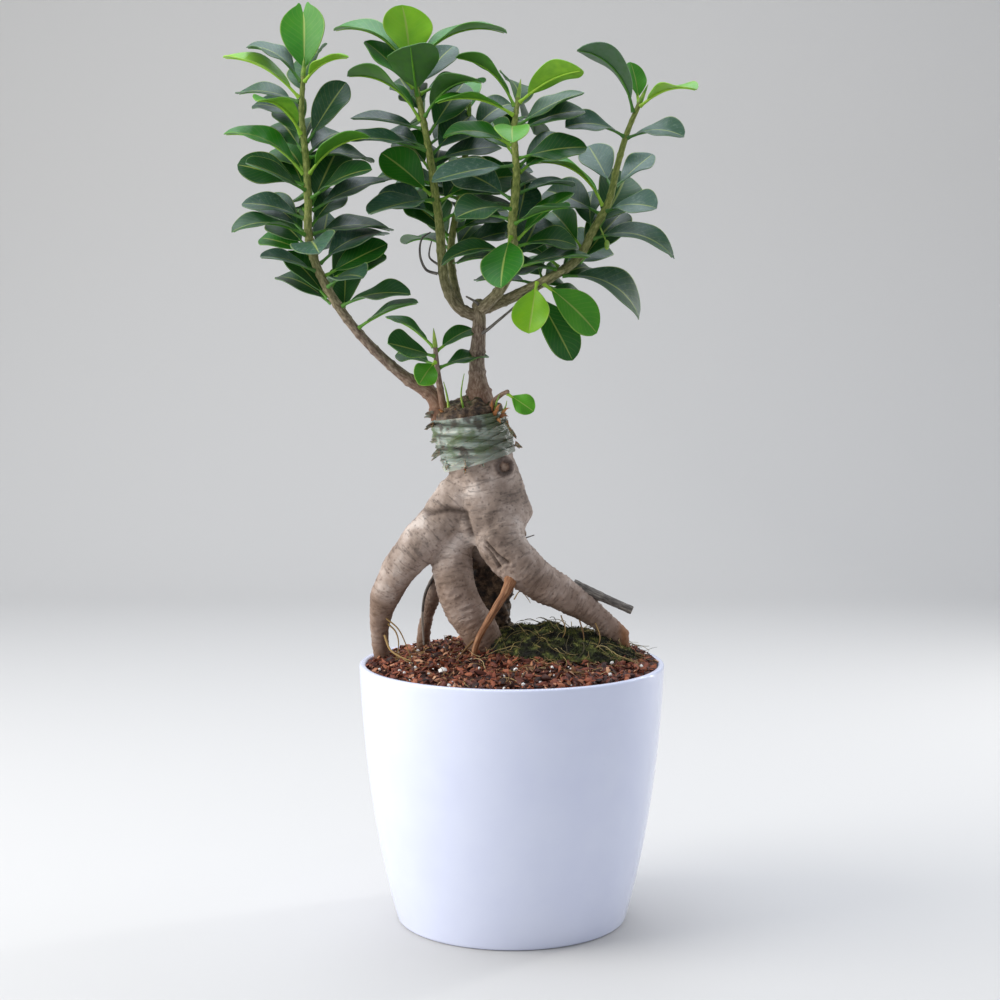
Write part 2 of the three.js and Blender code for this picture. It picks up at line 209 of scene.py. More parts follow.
ring_out, ring_in = FOOT_RADIUS - FOOT_CORNER, FOOT_RADIUS - FOOT_CORNER - FOOT_WIDTH
rim_top = POT_HEIGHT - RIM_ROUND
lip_in = RIM_RADIUS - RIM_WIDTH
inner_foot = pot_radius(FLOOR_TOP) - WALL
outline = [(0, 0), *arc((PAD_RADIUS - EDGE_ROUND, EDGE_ROUND), EDGE_ROUND, -90, 0, 3)]
outline += [(PAD_RADIUS, FOOT_RECESS), (ring_in, FOOT_RECESS)]
outline += arc((ring_in + EDGE_ROUND, EDGE_ROUND), EDGE_ROUND, 180, 270, 3)
outline += arc((ring_out, FOOT_CORNER), FOOT_CORNER, -90, -8, 6)
outline += [pot_side(step / 40) for step in range(1, 41)]
outline += arc((RIM_RADIUS - RIM_ROUND, rim_top), RIM_ROUND, 15, 90, 5)
outline += arc((lip_in + RIM_ROUND, rim_top), RIM_ROUND, 90, 180, 5)
outline += [(lip_in, rim_top - 1.2), (RIM_RADIUS - WALL - 0.2, POT_HEIGHT - 4)]
outline += [(pot_side(step / 40)[0] - WALL, pot_side(step / 40)[1]) for step in range(38, 4, -1)]
outline += arc((inner_foot - 3, FLOOR_TOP + 3), 3, 0, -90, 5)
outline += [(DRAIN_CIRCLE + 8, FLOOR_TOP), (0, FLOOR_TOP)]

drill = bmesh.new()
for hole in range(DRAIN_COUNT):
    turn = 2 * math.pi * hole / DRAIN_COUNT + math.pi / 2
    middle = Vector((DRAIN_CIRCLE * math.cos(turn), DRAIN_CIRCLE * math.sin(turn), 0)) * MM
    bmesh.ops.create_cone(drill, cap_ends=True, segments=40, radius1=DRAIN_RADIUS * MM,
        radius2=DRAIN_RADIUS * MM, depth=24 * MM, matrix=Matrix.Translation(middle))
drill_piece = make_piece("drill", drill)


def settle(piece):
    """Applies a piece's modifiers, so that its mesh is what shows."""
    finished = bpy.data.meshes.new_from_object(
        piece.evaluated_get(bpy.context.evaluated_depsgraph_get()))
    piece.modifiers.clear()
    piece.data = finished


# Gloss polypropylene: bright white with a faint blue that partly stands for painted cool
# light; moulding leaves it smooth, with a slow waviness about 20 mm long and a skin that
# varies a little in gloss. One tiny dark fleck.
plastic, tree = new_finish("gloss_white_polypropylene")
place = add(tree, "TexCoord").outputs["Object"]
WAVE_LENGTH, FLECK_SIZE = 20, 0.7
waves = add(tree, "TexNoise", {"Vector": place, "Scale": 1 / (WAVE_LENGTH * MM)})
# the faint blue in this white is partly painted cool light
tint_and_cool_light = colour_bands(add(tree, "ValToRGB", {"Fac": waves}), [(0.3, "#dfe4f9"), (0.7, "#e3e8fb")])
fleck_place = (42, -57.5, 90)
gap = add(tree, "VectorMath", {0: place, 1: Vector(fleck_place) * MM}, operation="DISTANCE")
fleck = add(tree, "MapRange", {"Value": gap, "From Min": FLECK_SIZE * MM,
    "From Max": 2 * FLECK_SIZE * MM})
skin = add(tree, "Mix", {"Factor": fleck, "A": linear("#54506a"), "B": tint_and_cool_light}, data_type="RGBA")
gloss = add(tree, "MapRange", {"Value": waves, "To Min": 0.1, "To Max": 0.15})
swell = add(tree, "Bump", {"Height": waves, "Strength": 0.05, "Distance": 0.3 * MM})
fill(tree, tree.nodes["Principled BSDF"], {"Base Color": skin, "Roughness": gloss, "Normal": swell,
    "IOR": 1.49})

pot = make_piece("pot_shell", turned(outline, POT_STEPS), plastic)
cut = pot.modifiers.new("drain_holes", "BOOLEAN")
cut.object = drill_piece
cut.operation = "DIFFERENCE"
cut.solver = "EXACT"
settle(pot)
bpy.data.objects.remove(drill_piece)
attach(pot, "root")
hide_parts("pot")

# ---------------------------------------------------------------- potting mix
# Damp red-brown coco chips with white perlite and loose coir fibre, filled by hand to just
# under the rim and heaped low under the roots. One body below, loose bits strewn on it.

SOIL_EDGE, HEAP_HEIGHT, HEAP_CENTRE, HEAP_SPREAD = 125, 11.5, (8, 12), 58
SOIL_GAP, SOIL_BOTTOM = 1.05, 4.75
SOIL_RADIUS = pot_radius(SOIL_EDGE) - WALL - SOIL_GAP


def soil_top(x, y):
    """The height of the smooth heap at a place seen from above."""
    away = math.hypot(x - HEAP_CENTRE[0], y - HEAP_CENTRE[1])
    return SOIL_EDGE + HEAP_HEIGHT * math.exp(-(away / HEAP_SPREAD) ** 2)


def bumps(spot, height, size, octaves):
    """Broken relief at a place: how high it is, and how wide its bumps are."""
    return height * noise.fractal(spot / size, 1.0, 2.0, octaves)


CLOD_HEIGHT, CLOD_SIZE, CLOD_SINK = 1.3, 7, 0.6
wall_heights = [10, 30, 60, 95, 118, 122]
outline = [(0, SOIL_BOTTOM), (pot_radius(10) - WALL - 7, SOIL_BOTTOM)]
outline += [(pot_radius(z) - WALL - SOIL_GAP, z) for z in wall_heights]
outline += [(SOIL_RADIUS * (1 - ring / 64), SOIL_EDGE) for ring in range(64)] + [(0, SOIL_EDGE)]
soil_shape = turned(outline, POT_STEPS)
for vert in soil_shape.verts:
    if vert.co.z > (SOIL_EDGE - 1) * MM:
        x, y = vert.co.x / MM, vert.co.y / MM
        clod = bumps(Vector((x, y, 0)), CLOD_HEIGHT, CLOD_SIZE, 4)
        vert.co.z = (soil_top(x, y) - CLOD_SINK + clod) * MM


def strewn(bit, matrices):
    """Copies of one small bit, each put in place by its own matrix, as one shape."""
    stamp = bpy.data.meshes.new("stamp")
    bit.to_mesh(stamp)
    bit.free()
    shape = bmesh.new()
    for matrix in matrices:
        stamp.transform(matrix)
        shape.from_mesh(stamp)
        stamp.transform(matrix.inverted())
    bpy.data.meshes.remove(stamp)
    return shape


def lying(chance, spot, size, tilt):
    """A matrix for a bit of a given size in millimetres, turned at random and tilted."""
    turn = Matrix.Rotation(chance.uniform(0, 2 * math.pi), 4, "Z")
    lean = Matrix.Rotation(chance.gauss(0, tilt), 4, "X")
    lean = lean @ Matrix.Rotation(chance.gauss(0, tilt), 4, "Y")
    scaled = Matrix.Diagonal((*(Vector(size) * MM), 1))
    return Matrix.Translation(Vector(spot) * MM) @ turn @ lean @ scaled


def spot_on_soil(chance, reach=1.0):
    """A random place on the heap, seen from above, within a share of its radius."""
    away = SOIL_RADIUS * reach * math.sqrt(chance.random())
    turn = chance.uniform(0, 2 * math.pi)
    return away * math.cos(turn), away * math.sin(turn)


def crumb(seed, jitter):
    """One angular crumb, about one unit across, with the few faces that a strewn bit needs."""
    chance = random.Random(seed)
    shape = bmesh.new()
    bmesh.ops.create_icosphere(shape, subdivisions=1, radius=0.5)
    for vert in shape.verts:
        vert.co *= 1 + chance.uniform(-jitter, jitter)
    return shape


# Coco chip: chopped husk, soft and fibrous, dark where it is wet and orange where it dries.
# Each chip takes its own shade; the fibres show as fine streaks about 0.6 mm apart.
chip_finish, tree = new_finish("damp_coco_chip")
place = add(tree, "TexCoord").outputs["Object"]
each = add(tree, "NewGeometry").outputs["Random Per Island"]
shade = colour_bands(add(tree, "ValToRGB", {"Fac": each}), [(0.0, "#22100b"), (0.3, "#4c2216"),
    (0.6, "#7d3b23"), (0.85, "#a25a38"), (1.0, "#c99a76")])
FIBRE_SPACING = 0.6
fibres = add(tree, "TexNoise", {"Vector": place, "Scale": 1 / (FIBRE_SPACING * MM), "Detail": 3.0})
mottle = add(tree, "MapRange", {"Value": fibres, "To Min": 0.5, "To Max": 1.45})
husk = add(tree, "Mix", {"Factor": 1.0, "A": shade, "B": mottle}, data_type="RGBA",
    blend_type="MULTIPLY")
damp = add(tree, "MapRange", {"Value": fibres, "To Min": 0.45, "To Max": 0.85})
rough = add(tree, "Bump", {"Height": fibres, "Strength": 0.6, "Distance": 0.25 * MM})
fill(tree, tree.nodes["Principled BSDF"], {"Base Color": husk, "Roughness": damp, "Normal": rough})

# Wet fines between the chips: nearly black-brown, matt, clotted at about 2 mm.
fines, tree = new_finish("wet_coir_fines")
place = add(tree, "TexCoord").outputs["Object"]
CLOT = 2
clots = add(tree, "TexNoise", {"Vector": place, "Scale": 1 / (CLOT * MM), "Detail": 5.0})
earth = colour_bands(add(tree, "ValToRGB", {"Fac": clots}), [(0.3, "#1c0d09"), (0.5, "#43200f"),
    (0.7, "#6f3a20")])
lumps = add(tree, "Bump", {"Height": clots, "Strength": 0.8, "Distance": 0.6 * MM})
fill(tree, tree.nodes["Principled BSDF"], {"Base Color": earth, "Normal": lumps, "Roughness": 0.8})

soil = make_piece("potting_mix", soil_shape, fines)
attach(soil, "root")
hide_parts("soil")

CHIP_COUNT, CHIP_SIZES = 4200, (1.4, 6.2)
chance = random.Random(11)
chip_places = []
for _ in range(CHIP_COUNT):
    x, y = spot_on_soil(chance, 0.99)
    long = CHIP_SIZES[0] + (CHIP_SIZES[1] - CHIP_SIZES[0]) * chance.random() ** 2.2
    edge_in = min(1, (SOIL_RADIUS - math.hypot(x, y)) / 3)
    size = (long, long * chance.uniform(0.4, 0.8), long * chance.uniform(0.25, 0.55))
    height = soil_top(x, y) + chance.uniform(-0.6, 1.1) * edge_in
    chip_places.append(lying(chance, (x, y, height), size, 0.55))
chips = make_piece("coco_chips", strewn(crumb(3, 0.28), chip_places), chip_finish)
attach(chips, "root")

# Perlite: popped volcanic glass, chalk white, matt and full of pits about 0.4 mm wide.
perlite_finish, tree = new_finish("expanded_perlite")
place = add(tree, "TexCoord").outputs["Object"]
PIT = 0.4
pits = add(tree, "TexVoronoi", {"Vector": place, "Scale": 1 / (2 * PIT * MM)})
chalk = colour_bands(add(tree, "ValToRGB", {"Fac": pits}), [(0.0, "#b9a79b"), (0.35, "#f2efe9")])
popped = add(tree, "Bump", {"Height": pits, "Strength": 0.5, "Distance": 0.2 * MM})
fill(tree, tree.nodes["Principled BSDF"], {"Base Color": chalk, "Normal": popped, "Roughness": 0.9})

PERLITE_COUNT = 120
chance = random.Random(23)
grain_places = []
for _ in range(PERLITE_COUNT):
    x, y = spot_on_soil(chance, 0.96)
    across = 0.8 + 2.0 * chance.random() ** 3
    size = [across * chance.uniform(0.75, 1.2) for _ in range(3)]
    height = soil_top(x, y) + chance.uniform(0.3, 1.3)
    grain_places.append(lying(chance, (x, y, height), size, 1.0))
# the biggest grain lies on its own near the front, left of the middle root
grain_places.append(lying(chance, (-33, -36, soil_top(-33, -36) + 1.6), (4.2, 3.8, 3.6), 1.0))
perlite = make_piece("perlite_grains", strewn(crumb(5, 0.16), grain_places), perlite_finish)
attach(perlite, "root")


class Route:
    """A smooth line through a few points, read by its share of the whole length."""

    SAMPLES = 200

    def __init__(self, points):
        knots = [Vector(p) for p in points]
        ends = [2 * knots[0] - knots[1], *knots, 2 * knots[-1] - knots[-2]]
        self.places = []
        for sample in range(self.SAMPLES + 1):
            reach = (len(knots) - 1) * sample / self.SAMPLES
            first = min(int(reach), len(knots) - 2)
            self.places.append(self.between(ends[first:first + 4], reach - first))
        steps = [(b - a).length for a, b in zip(self.places, self.places[1:])]
        self.lengths = np.concatenate([[0], np.cumsum(steps)])
        self.length = float(self.lengths[-1])

    @staticmethod
    def between(four, share):
        """A point between the middle two of four, on the centripetal curve through them."""
        gaps = [max((b - a).length_squared ** 0.25, 1e-4) for a, b in zip(four, four[1:])]
        a, b, c, d = four
        leave = (b - a) / gaps[0] - (c - a) / (gaps[0] + gaps[1]) + (c - b) / gaps[1]
        arrive = (c - b) / gaps[1] - (d - b) / (gaps[1] + gaps[2]) + (d - c) / gaps[2]
        leave, arrive = leave * gaps[1], arrive * gaps[1]
        return (b + leave * share + (3 * (c - b) - 2 * leave - arrive) * share ** 2
                + (2 * (b - c) + leave + arrive) * share ** 3)

    def at(self, share):
        """The place at a share of the length."""
        reach = min(max(share, 0), 1) * self.length
        first = min(int(np.searchsorted(self.lengths, reach, side="right")) - 1, self.SAMPLES - 1)
        step = self.lengths[first + 1] - self.lengths[first]
        return self.places[first].lerp(self.places[first + 1], (reach - self.lengths[first]) / step)

    def heading(self, share):
        """The way the line runs at a share of the length."""
        return (self.at(share + 0.005) - self.at(share - 0.005)).normalized()


def radius_along(radii, share):
    """The radius at a share of a limb, changing evenly between the listed ones."""
    return float(np.interp(share, np.linspace(0, 1, len(radii)), radii))


def limb(route, radius_at, sides=8, steps=12, round_end=True):
    """A closed round limb: one circle pulled out ring by ring along a route. Every point
    keeps its place on the limb, in millimetres, in the attribute "grain"."""
    shape = bmesh.new()
    grain = shape.verts.layers.float_vector.new("grain")
    shares = [(step / steps, 1.0, 0.0) for step in range(steps + 1)]
    if round_end:
        shares += [(1.0, 0.72, 0.45), (1.0, 0.3, 0.65)]
    ahead = route.heading(0)
    across = ahead.orthogonal().normalized()
    ring = bmesh.ops.create_circle(shape, cap_ends=False, segments=sides, radius=1)["verts"]
    unit_ring = [vert.co.copy() for vert in ring]
    for count, (share, shrink, push) in enumerate(shares):
        turned_ahead = route.heading(share)
        across = (across - turned_ahead * across.dot(turned_ahead)).normalized()
        up = turned_ahead.cross(across)
        radius = radius_at(share)
        middle = route.at(share) + turned_ahead * push * radius
        if count:
            edges = [e for e in ring_edges if e.is_valid]
            grown = bmesh.ops.extrude_edge_only(shape, edges=edges)["geom"]
            ring_edges = [item for item in grown if isinstance(item, bmesh.types.BMEdge)]
            ring = [item for item in grown if isinstance(item, bmesh.types.BMVert)]
        else:
            ring_edges = list(shape.edges)
        for vert, spot in zip(ring, unit_ring):
            flat = spot * radius * shrink
            vert.co = (middle + across * flat.x + up * flat.y) * MM
            vert[grain] = (share * route.length + push * radius, flat.x, flat.y)
    bmesh.ops.holes_fill(shape, edges=[e for e in shape.edges if e.is_boundary])
    bmesh.ops.recalc_face_normals(shape, faces=shape.faces)
    return shape


def gather(shapes):
    """Several shapes as one, with their attributes kept."""
    whole = bmesh.new()
    for shape in shapes:
        part = bpy.data.meshes.new("part")
        shape.to_mesh(part)
        shape.free()
        whole.from_mesh(part)
        bpy.data.meshes.remove(part)
    return whole


def many_shades(name, bands, roughness):
    """A finish in which each loose bit takes one shade of its own from the bands."""
    finish, tree = new_finish(name)
    each = add(tree, "NewGeometry").outputs["Random Per Island"]
    shade = colour_bands(add(tree, "ValToRGB", {"Fac": each}), bands)
    fill(tree, tree.nodes["Principled BSDF"], {"Base Color": shade, "Roughness": roughness})
    return finish


# Dry coir fibre: thin tan strands, matt, each its own shade.
fibre_finish = many_shades("dry_coir_fibre", [(0.0, "#6b4a2a"), (0.45, "#9a7c4a"),
    (0.8, "#b89a66"), (1.0, "#cdb68c")], 0.8)


def strand(chance, start, way, reach, thick, wander, floor=soil_top, lift=0.5):
    """A thin bent fibre that starts at a point, runs a way and comes down to the soil."""
    points, spot, course = [], Vector(start), Vector(way).normalized()
    for _ in range(6):
        points.append(spot.copy())
        course = (course + Vector([chance.gauss(0, wander) for _ in range(3)])).normalized()
        spot += course * reach / 5
        ground = floor(spot.x, spot.y) + lift
        spot.z = min(max(spot.z, ground), ground + 3.5)
    return limb(Route(points), lambda share: thick * (1 - 0.55 * share), sides=4, steps=8,
                round_end=False)


FIBRE_COUNT = 230
chance = random.Random(31)
strands = []
for _ in range(FIBRE_COUNT):
    x, y = spot_on_soil(chance, 0.84)
    turn = chance.uniform(0, 2 * math.pi)
    strands.append(strand(chance, (x, y, soil_top(x, y) + 1.1),
                          (math.cos(turn), math.sin(turn), chance.uniform(-0.1, 0.25)),
                          chance.uniform(5, 13), chance.uniform(0.12, 0.26), 0.35, lift=1.0))
loose_fibre = make_piece("loose_coir_fibre", gather(strands), fibre_finish)
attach(loose_fibre, "root")

# ---------------------------------------------------------------- moss and root mat
# What is left of the root ball's top: a dark cushion of moss over matted dead roots, on the
# heap under the right root. It is one body with tufts on it and straw strands through it.

MOSS_CENTRE, MOSS_RADIUS, MOSS_HEIGHT = (24, 0), (37, 26), 7.5
CREST_HEIGHT, CREST_SIZE, LUMP_HEIGHT, LUMP_SIZE = 3.2, 9, 2.0, 4


def moss_top(x, y):
    """The height of the cushion, or of the heap where the cushion has ended."""
    across = ((x - MOSS_CENTRE[0]) / MOSS_RADIUS[0]) ** 2 + ((y - MOSS_CENTRE[1]) / MOSS_RADIUS[1]) ** 2
    crest = CREST_HEIGHT * noise.noise(Vector((x, y, 3)) / CREST_SIZE)
    return soil_top(x, y) + 1.1 + (MOSS_HEIGHT + crest) * math.sqrt(max(0, 1 - across))


cushion = bmesh.new()
bmesh.ops.create_uvsphere(cushion, u_segments=96, v_segments=40, radius=1)
for vert in cushion.verts:
    x = MOSS_CENTRE[0] + vert.co.x * MOSS_RADIUS[0]
    y = MOSS_CENTRE[1] + vert.co.y * MOSS_RADIUS[1]
    lumps = bumps(Vector((x, y, 0)), LUMP_HEIGHT, LUMP_SIZE, 3)
    top = moss_top(x, y) + lumps * max(0, vert.co.z)
    vert.co = Vector((x, y, top if vert.co.z > 0 else soil_top(x, y) + 0.7)) * MM

# Moss: a blackish green pile with olive tips, quite matt, patchy at about 5 mm.
moss_finish, tree = new_finish("cushion_moss")
place = add(tree, "TexCoord").outputs["Object"]
PATCH, PILE = 5, 0.7
patches = add(tree, "TexNoise", {"Vector": place, "Scale": 1 / (PATCH * MM), "Detail": 4.0})
greens = colour_bands(add(tree, "ValToRGB", {"Fac": patches}), [(0.36, "#15130c"),
    (0.48, "#292b14"), (0.56, "#50572a"), (0.66, "#8b8945")])
pile = add(tree, "TexNoise", {"Vector": place, "Scale": 1 / (PILE * MM)})
nap = add(tree, "Bump", {"Height": pile, "Strength": 0.8, "Distance": 0.5 * MM})
fill(tree, tree.nodes["Principled BSDF"], {"Base Color": greens, "Normal": nap, "Roughness": 0.95})

moss = make_piece("moss_body", cushion, moss_finish)
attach(moss, "root")
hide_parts("moss_cushion")

TUFT_COUNT, TUFT_SIZE = 3600, (0.6, 2.2)
chance = random.Random(41)
tuft_places = []
for _ in range(TUFT_COUNT):
    turn, away = chance.uniform(0, 2 * math.pi), math.sqrt(chance.random())
    x = MOSS_CENTRE[0] + 1.04 * MOSS_RADIUS[0] * away * math.cos(turn)
    y = MOSS_CENTRE[1] + 1.06 * MOSS_RADIUS[1] * away * math.sin(turn)
    tall = TUFT_SIZE[1] * chance.uniform(0.6, 1.3)
    thick = TUFT_SIZE[0] * chance.uniform(0.7, 1.5)
    tuft_places.append(lying(chance, (x, y, moss_top(x, y) + 0.4), (thick, thick, tall), 0.6))
tuft = bmesh.new()
bmesh.ops.create_cone(tuft, cap_ends=True, segments=5, radius1=0.5, radius2=0.12, depth=1)
tufts = make_piece("moss_tufts", strewn(tuft, tuft_places), moss_finish)
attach(tufts, "root")

# Strands through the mat: dead roots bleached to straw and olive, a few nearly black.
mat_finish = many_shades("bleached_root_strands", [(0.0, "#2a2216"), (0.3, "#4c4424"),
    (0.55, "#857541"), (0.8, "#a8935a"), (1.0, "#c4b07c")], 0.75)

STRAND_COUNT = 120
chance = random.Random(43)
strands = []
for _ in range(STRAND_COUNT):
    turn, away = chance.uniform(0, 2 * math.pi), chance.random() ** 0.7
    x = MOSS_CENTRE[0] + MOSS_RADIUS[0] * away * math.cos(turn)
    y = MOSS_CENTRE[1] + MOSS_RADIUS[1] * away * math.sin(turn)
    way = (math.cos(turn) + chance.gauss(0, 0.8), math.sin(turn) + chance.gauss(0, 0.8),
           chance.uniform(-0.1, 0.35))
    strands.append(strand(chance, (x, y, moss_top(x, y)), way, chance.uniform(7, 24),
                          chance.uniform(0.14, 0.34), 0.4, floor=moss_top, lift=0.3))
root_mat = make_piece("root_mat_strands", gather(strands), mat_finish)
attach(root_mat, "root")

# ---------------------------------------------------------------- rootstock
# A seed-grown fig: a swollen stump on thick bare roots, all grown together as one piece of
# living wood with thin grey bark, cut flat at the neck where the scions were grafted on.

BARK_VOXEL = 0.75
ROOTS = [
    # the stump and the body under it
    ([(-21.8, 0, 253), (-20.8, 0, 246), (-18.5, 0, 238), (-15.5, 0, 228), (-12.5, 1, 217),
      (-11, 2, 204), (-9, 4, 188)], [16.8, 17.2, 16.6, 16.4, 18.6, 20.4, 14]),
    # left root
    ([(-17, 0, 222), (-24, 0, 210), (-35, -2, 197), (-44, -3, 187.5), (-54, -1, 175.5),
      (-61, 3, 163), (-65, 8, 150), (-65.5, 13, 136), (-62.5, 16, 112)],
     [9.5, 13, 10.8, 10, 8.6, 6.8, 5, 4, 3.6]),
    # middle root
    ([(-22, 2, 200), (-29, 1, 184), (-28, -4, 167.5), (-23, -4, 154.5), (-15.5, -2, 142),
      (-11.5, 3, 130), (-10, 8, 111)], [11, 10, 9.8, 9.5, 9, 8, 6]),
    # right root, which ends in a blunt cut
    ([(-12, 0, 212), (-7, -4, 199.5), (-5, -8, 188), (2.5, -9, 178), (13, -7, 169.5),
      (24.5, -4, 162.5), (35, -1, 156), (45, 2, 147.5), (54.5, 4, 138.5)],
     [14, 13, 12.3, 11.2, 9.6, 8.6, 7.2, 5.9, 5.2]),
    # back root
    ([(-2, 5, 208), (-2, 12, 192), (-9, 17, 177.5), (-14, 20, 164.5), (-14, 22, 150),
      (-6, 25, 139), (-5, 25, 115)], [9, 8.8, 8.5, 8, 7.5, 7, 5]),
    # the dead bark and root stubs that fill the space round the back root
    ([(-14, 6, 198), (-16, 11, 186), (-15, 15, 174)], [6, 6.5, 6]),
    ([(-7, 13, 176), (-7, 17, 162), (-7, 20, 148), (-8, 22, 132)], [6, 7.2, 6.5, 6]),
    # thin root behind the left one
    ([(-27, 6, 182), (-36, 15, 167.5), (-41, 23, 152.5), (-44.5, 31, 137), (-45.5, 36, 114)],
     [5, 4, 3.4, 3.2, 3]),
    # two feeder roots under the right root
    ([(44, 3, 146), (47, 5, 133), (46, 6, 113)], [4, 2.4, 1.6]),
    ([(53, 4, 139), (55.5, 6, 128), (55, 7, 112)], [4.4, 2.8, 1.8]),
]
OLD_WOOD, OLD_WOOD_BLUR = (4, 5, 6), 14

limbs = [Route(points) for points, _ in ROOTS]
rough_body = make_piece("rootstock_bark", gather([
    limb(route, lambda share, radii=radii: radius_along(radii, share), sides=40, steps=60,
         round_end=False)
    for route, (_, radii) in zip(limbs, ROOTS)
]))
merge = rough_body.modifiers.new("grown_together", "REMESH")
merge.mode = "VOXEL"
merge.voxel_size = BARK_VOXEL * MM
merge.adaptivity = 0
ease = rough_body.modifiers.new("ease", "SMOOTH")
ease.factor = 0.6
ease.iterations = 9
settle(rough_body)


def nearest_limb(places, routes, radii_lists):
    """For each place: which limb it belongs to, and its place along and around that limb."""
    best = np.full(len(places), 1e9)
    owner = np.zeros(len(places), int)
    grain = np.zeros((len(places), 3))
    for number, (route, radii) in enumerate(zip(routes, radii_lists)):
        ahead = route.heading(0)
        across = ahead.orthogonal().normalized()
        for step in range(121):
            share = step / 120
            ahead = route.heading(share)
            across = (across - ahead * across.dot(ahead)).normalized()
            middle = np.array(route.at(share))
            offset = places - middle
            away = np.linalg.norm(offset, axis=1) - radius_along(radii, share)
            closer = away < best
            best[closer] = away[closer]
            owner[closer] = number
            up = ahead.cross(across)
            grain[closer, 0] = share * route.length + offset[closer] @ np.array(ahead)
            grain[closer, 1] = offset[closer] @ np.array(across)
            grain[closer, 2] = offset[closer] @ np.array(up)
    return owner, grain


mesh = rough_body.data
count = len(mesh.vertices)
places = np.empty(count * 3, np.float32)
mesh.vertices.foreach_get("co", places)
places = places.reshape(-1, 3).astype(float) / MM
normals = np.empty(count * 3, np.float32)
mesh.vertices.foreach_get("normal", normals)
normals = normals.reshape(-1, 3)
owner, grain = nearest_limb(places, limbs, [radii for _, radii in ROOTS])

# Folds where the bark of two roots has met, seen from the front: places as X and Z. On the
# front half each fold is pushed in and darkened with painted shade.
CREASES = [
    [(-41, 203), (-30, 204.5), (-23, 203), (-21.5, 197), (-19.5, 191)],
    [(-12.5, 189), (-7, 183), (-1.5, 179.5)],
    [(-13, 186.5), (-9.5, 182.5), (-6, 177)],
]
CREASE_WIDTHS, CREASE_DEPTH = [1.6, 0.7, 0.6], 2.2


def gap_to_line(x, z, points):
    """How far a place is from a line through points, seen from the front."""
    best = 1e9
    for (x0, z0), (x1, z1) in zip(points, points[1:]):
        run = (x1 - x0) ** 2 + (z1 - z0) ** 2
        share = min(1, max(0, ((x - x0) * (x1 - x0) + (z - z0) * (z1 - z0)) / run))
        best = min(best, math.hypot(x - x0 - share * (x1 - x0), z - z0 - share * (z1 - z0)))
    return best


# Growth rings wrap each root every 2 to 3 mm as low broken ridges, deeper on the middle and
# right roots; old wood swells and dips slowly; the back root is lumpy; a scar sits by the neck.
RING_SPACING = 2.5
RING_DEPTH = [0.16, 0.12, 0.3, 0.3, 0.3, 0.3, 0.3, 0.2, 0.15, 0.15]
# each relief of the bark: its height, the width of its bumps, and how many octaves it has
SWELLS, GRIT, KNOBBLES, NECK_LUMPS = (0.9, 16, 2), (0.22, 2.6, 3), (1.8, 4.5, 3), (1.1, 3.2, 3)
NECK_HEIGHT = 246
SCAR, SCAR_RADIUS, SCAR_FLAT = Vector((-3.6, -13.6, 225)), 4.2, Vector((1, 0.2, 1))
COLLAR, COLLAR_RADIUS = Vector((-20, -15, 217)), 3.4
pushes = np.zeros(count)
painted_crease_shade = np.zeros(count)
for i in range(count):
    spot, line = Vector(places[i]), grain[i]
    part = owner[i]
    skew = 1.6 * noise.noise(spot / 14) + 0.5 * noise.noise(spot / 4)
    ring = math.sin(2 * math.pi * (line[0] / RING_SPACING + skew))
    broken = min(1, max(0, 0.5 + 1.6 * noise.noise(spot / 5 + Vector((9, 0, 0)))))
    push = RING_DEPTH[part] * ring * broken
    push += bumps(spot, *SWELLS) + bumps(spot, *GRIT)
    if part in OLD_WOOD:
        push += bumps(spot, *KNOBBLES)
    away = ((spot - SCAR) * SCAR_FLAT).length / SCAR_RADIUS
    if away < 1.6:
        push += 1.3 * math.exp(-((away - 0.95) / 0.25) ** 2) - 1.9 * math.exp(-(away / 0.6) ** 2)
    away = (spot - COLLAR).length / COLLAR_RADIUS
    if away < 1.6:
        push += 0.35 * math.exp(-((away - 0.9) / 0.25) ** 2)
    if spot.z > NECK_HEIGHT:
        push += bumps(spot, *NECK_LUMPS)
    if spot.y < 2:
        fold = max(math.exp(-(gap_to_line(spot.x, spot.z, fold_line) / width) ** 2)
                   for fold_line, width in zip(CREASES, CREASE_WIDTHS))
        push -= CREASE_DEPTH * fold
        # how much painted shade darkens the bark in this fold
        painted_crease_shade[i] = 0.75 * fold ** 1.5
    pushes[i] = push
mesh.vertices.foreach_set("co", ((places + normals * pushes[:, None]) * MM).astype(np.float32).ravel())
mesh.attributes.new("grain", "FLOAT_VECTOR", "POINT").data.foreach_set(
    "vector", grain.astype(np.float32).ravel())
rough = np.where(np.isin(owner, OLD_WOOD), 1.0, 0.0)
ends = np.empty(2 * len(mesh.edges), np.int32)
mesh.edges.foreach_get("vertices", ends)
ends = np.concatenate([ends.reshape(-1, 2), ends.reshape(-1, 2)[:, ::-1]])
shares = np.bincount(ends[:, 0], minlength=count)
for _ in range(OLD_WOOD_BLUR):
    rough = np.bincount(ends[:, 0], rough[ends[:, 1]], minlength=count) / np.maximum(shares, 1)
mesh.attributes.new("old_wood", "FLOAT", "POINT").data.foreach_set("value", rough.astype(np.float32))
mesh.attributes.new("crease", "FLOAT", "POINT").data.foreach_set("value", painted_crease_shade.astype(np.float32))
mesh.update()
mesh.shade_smooth()

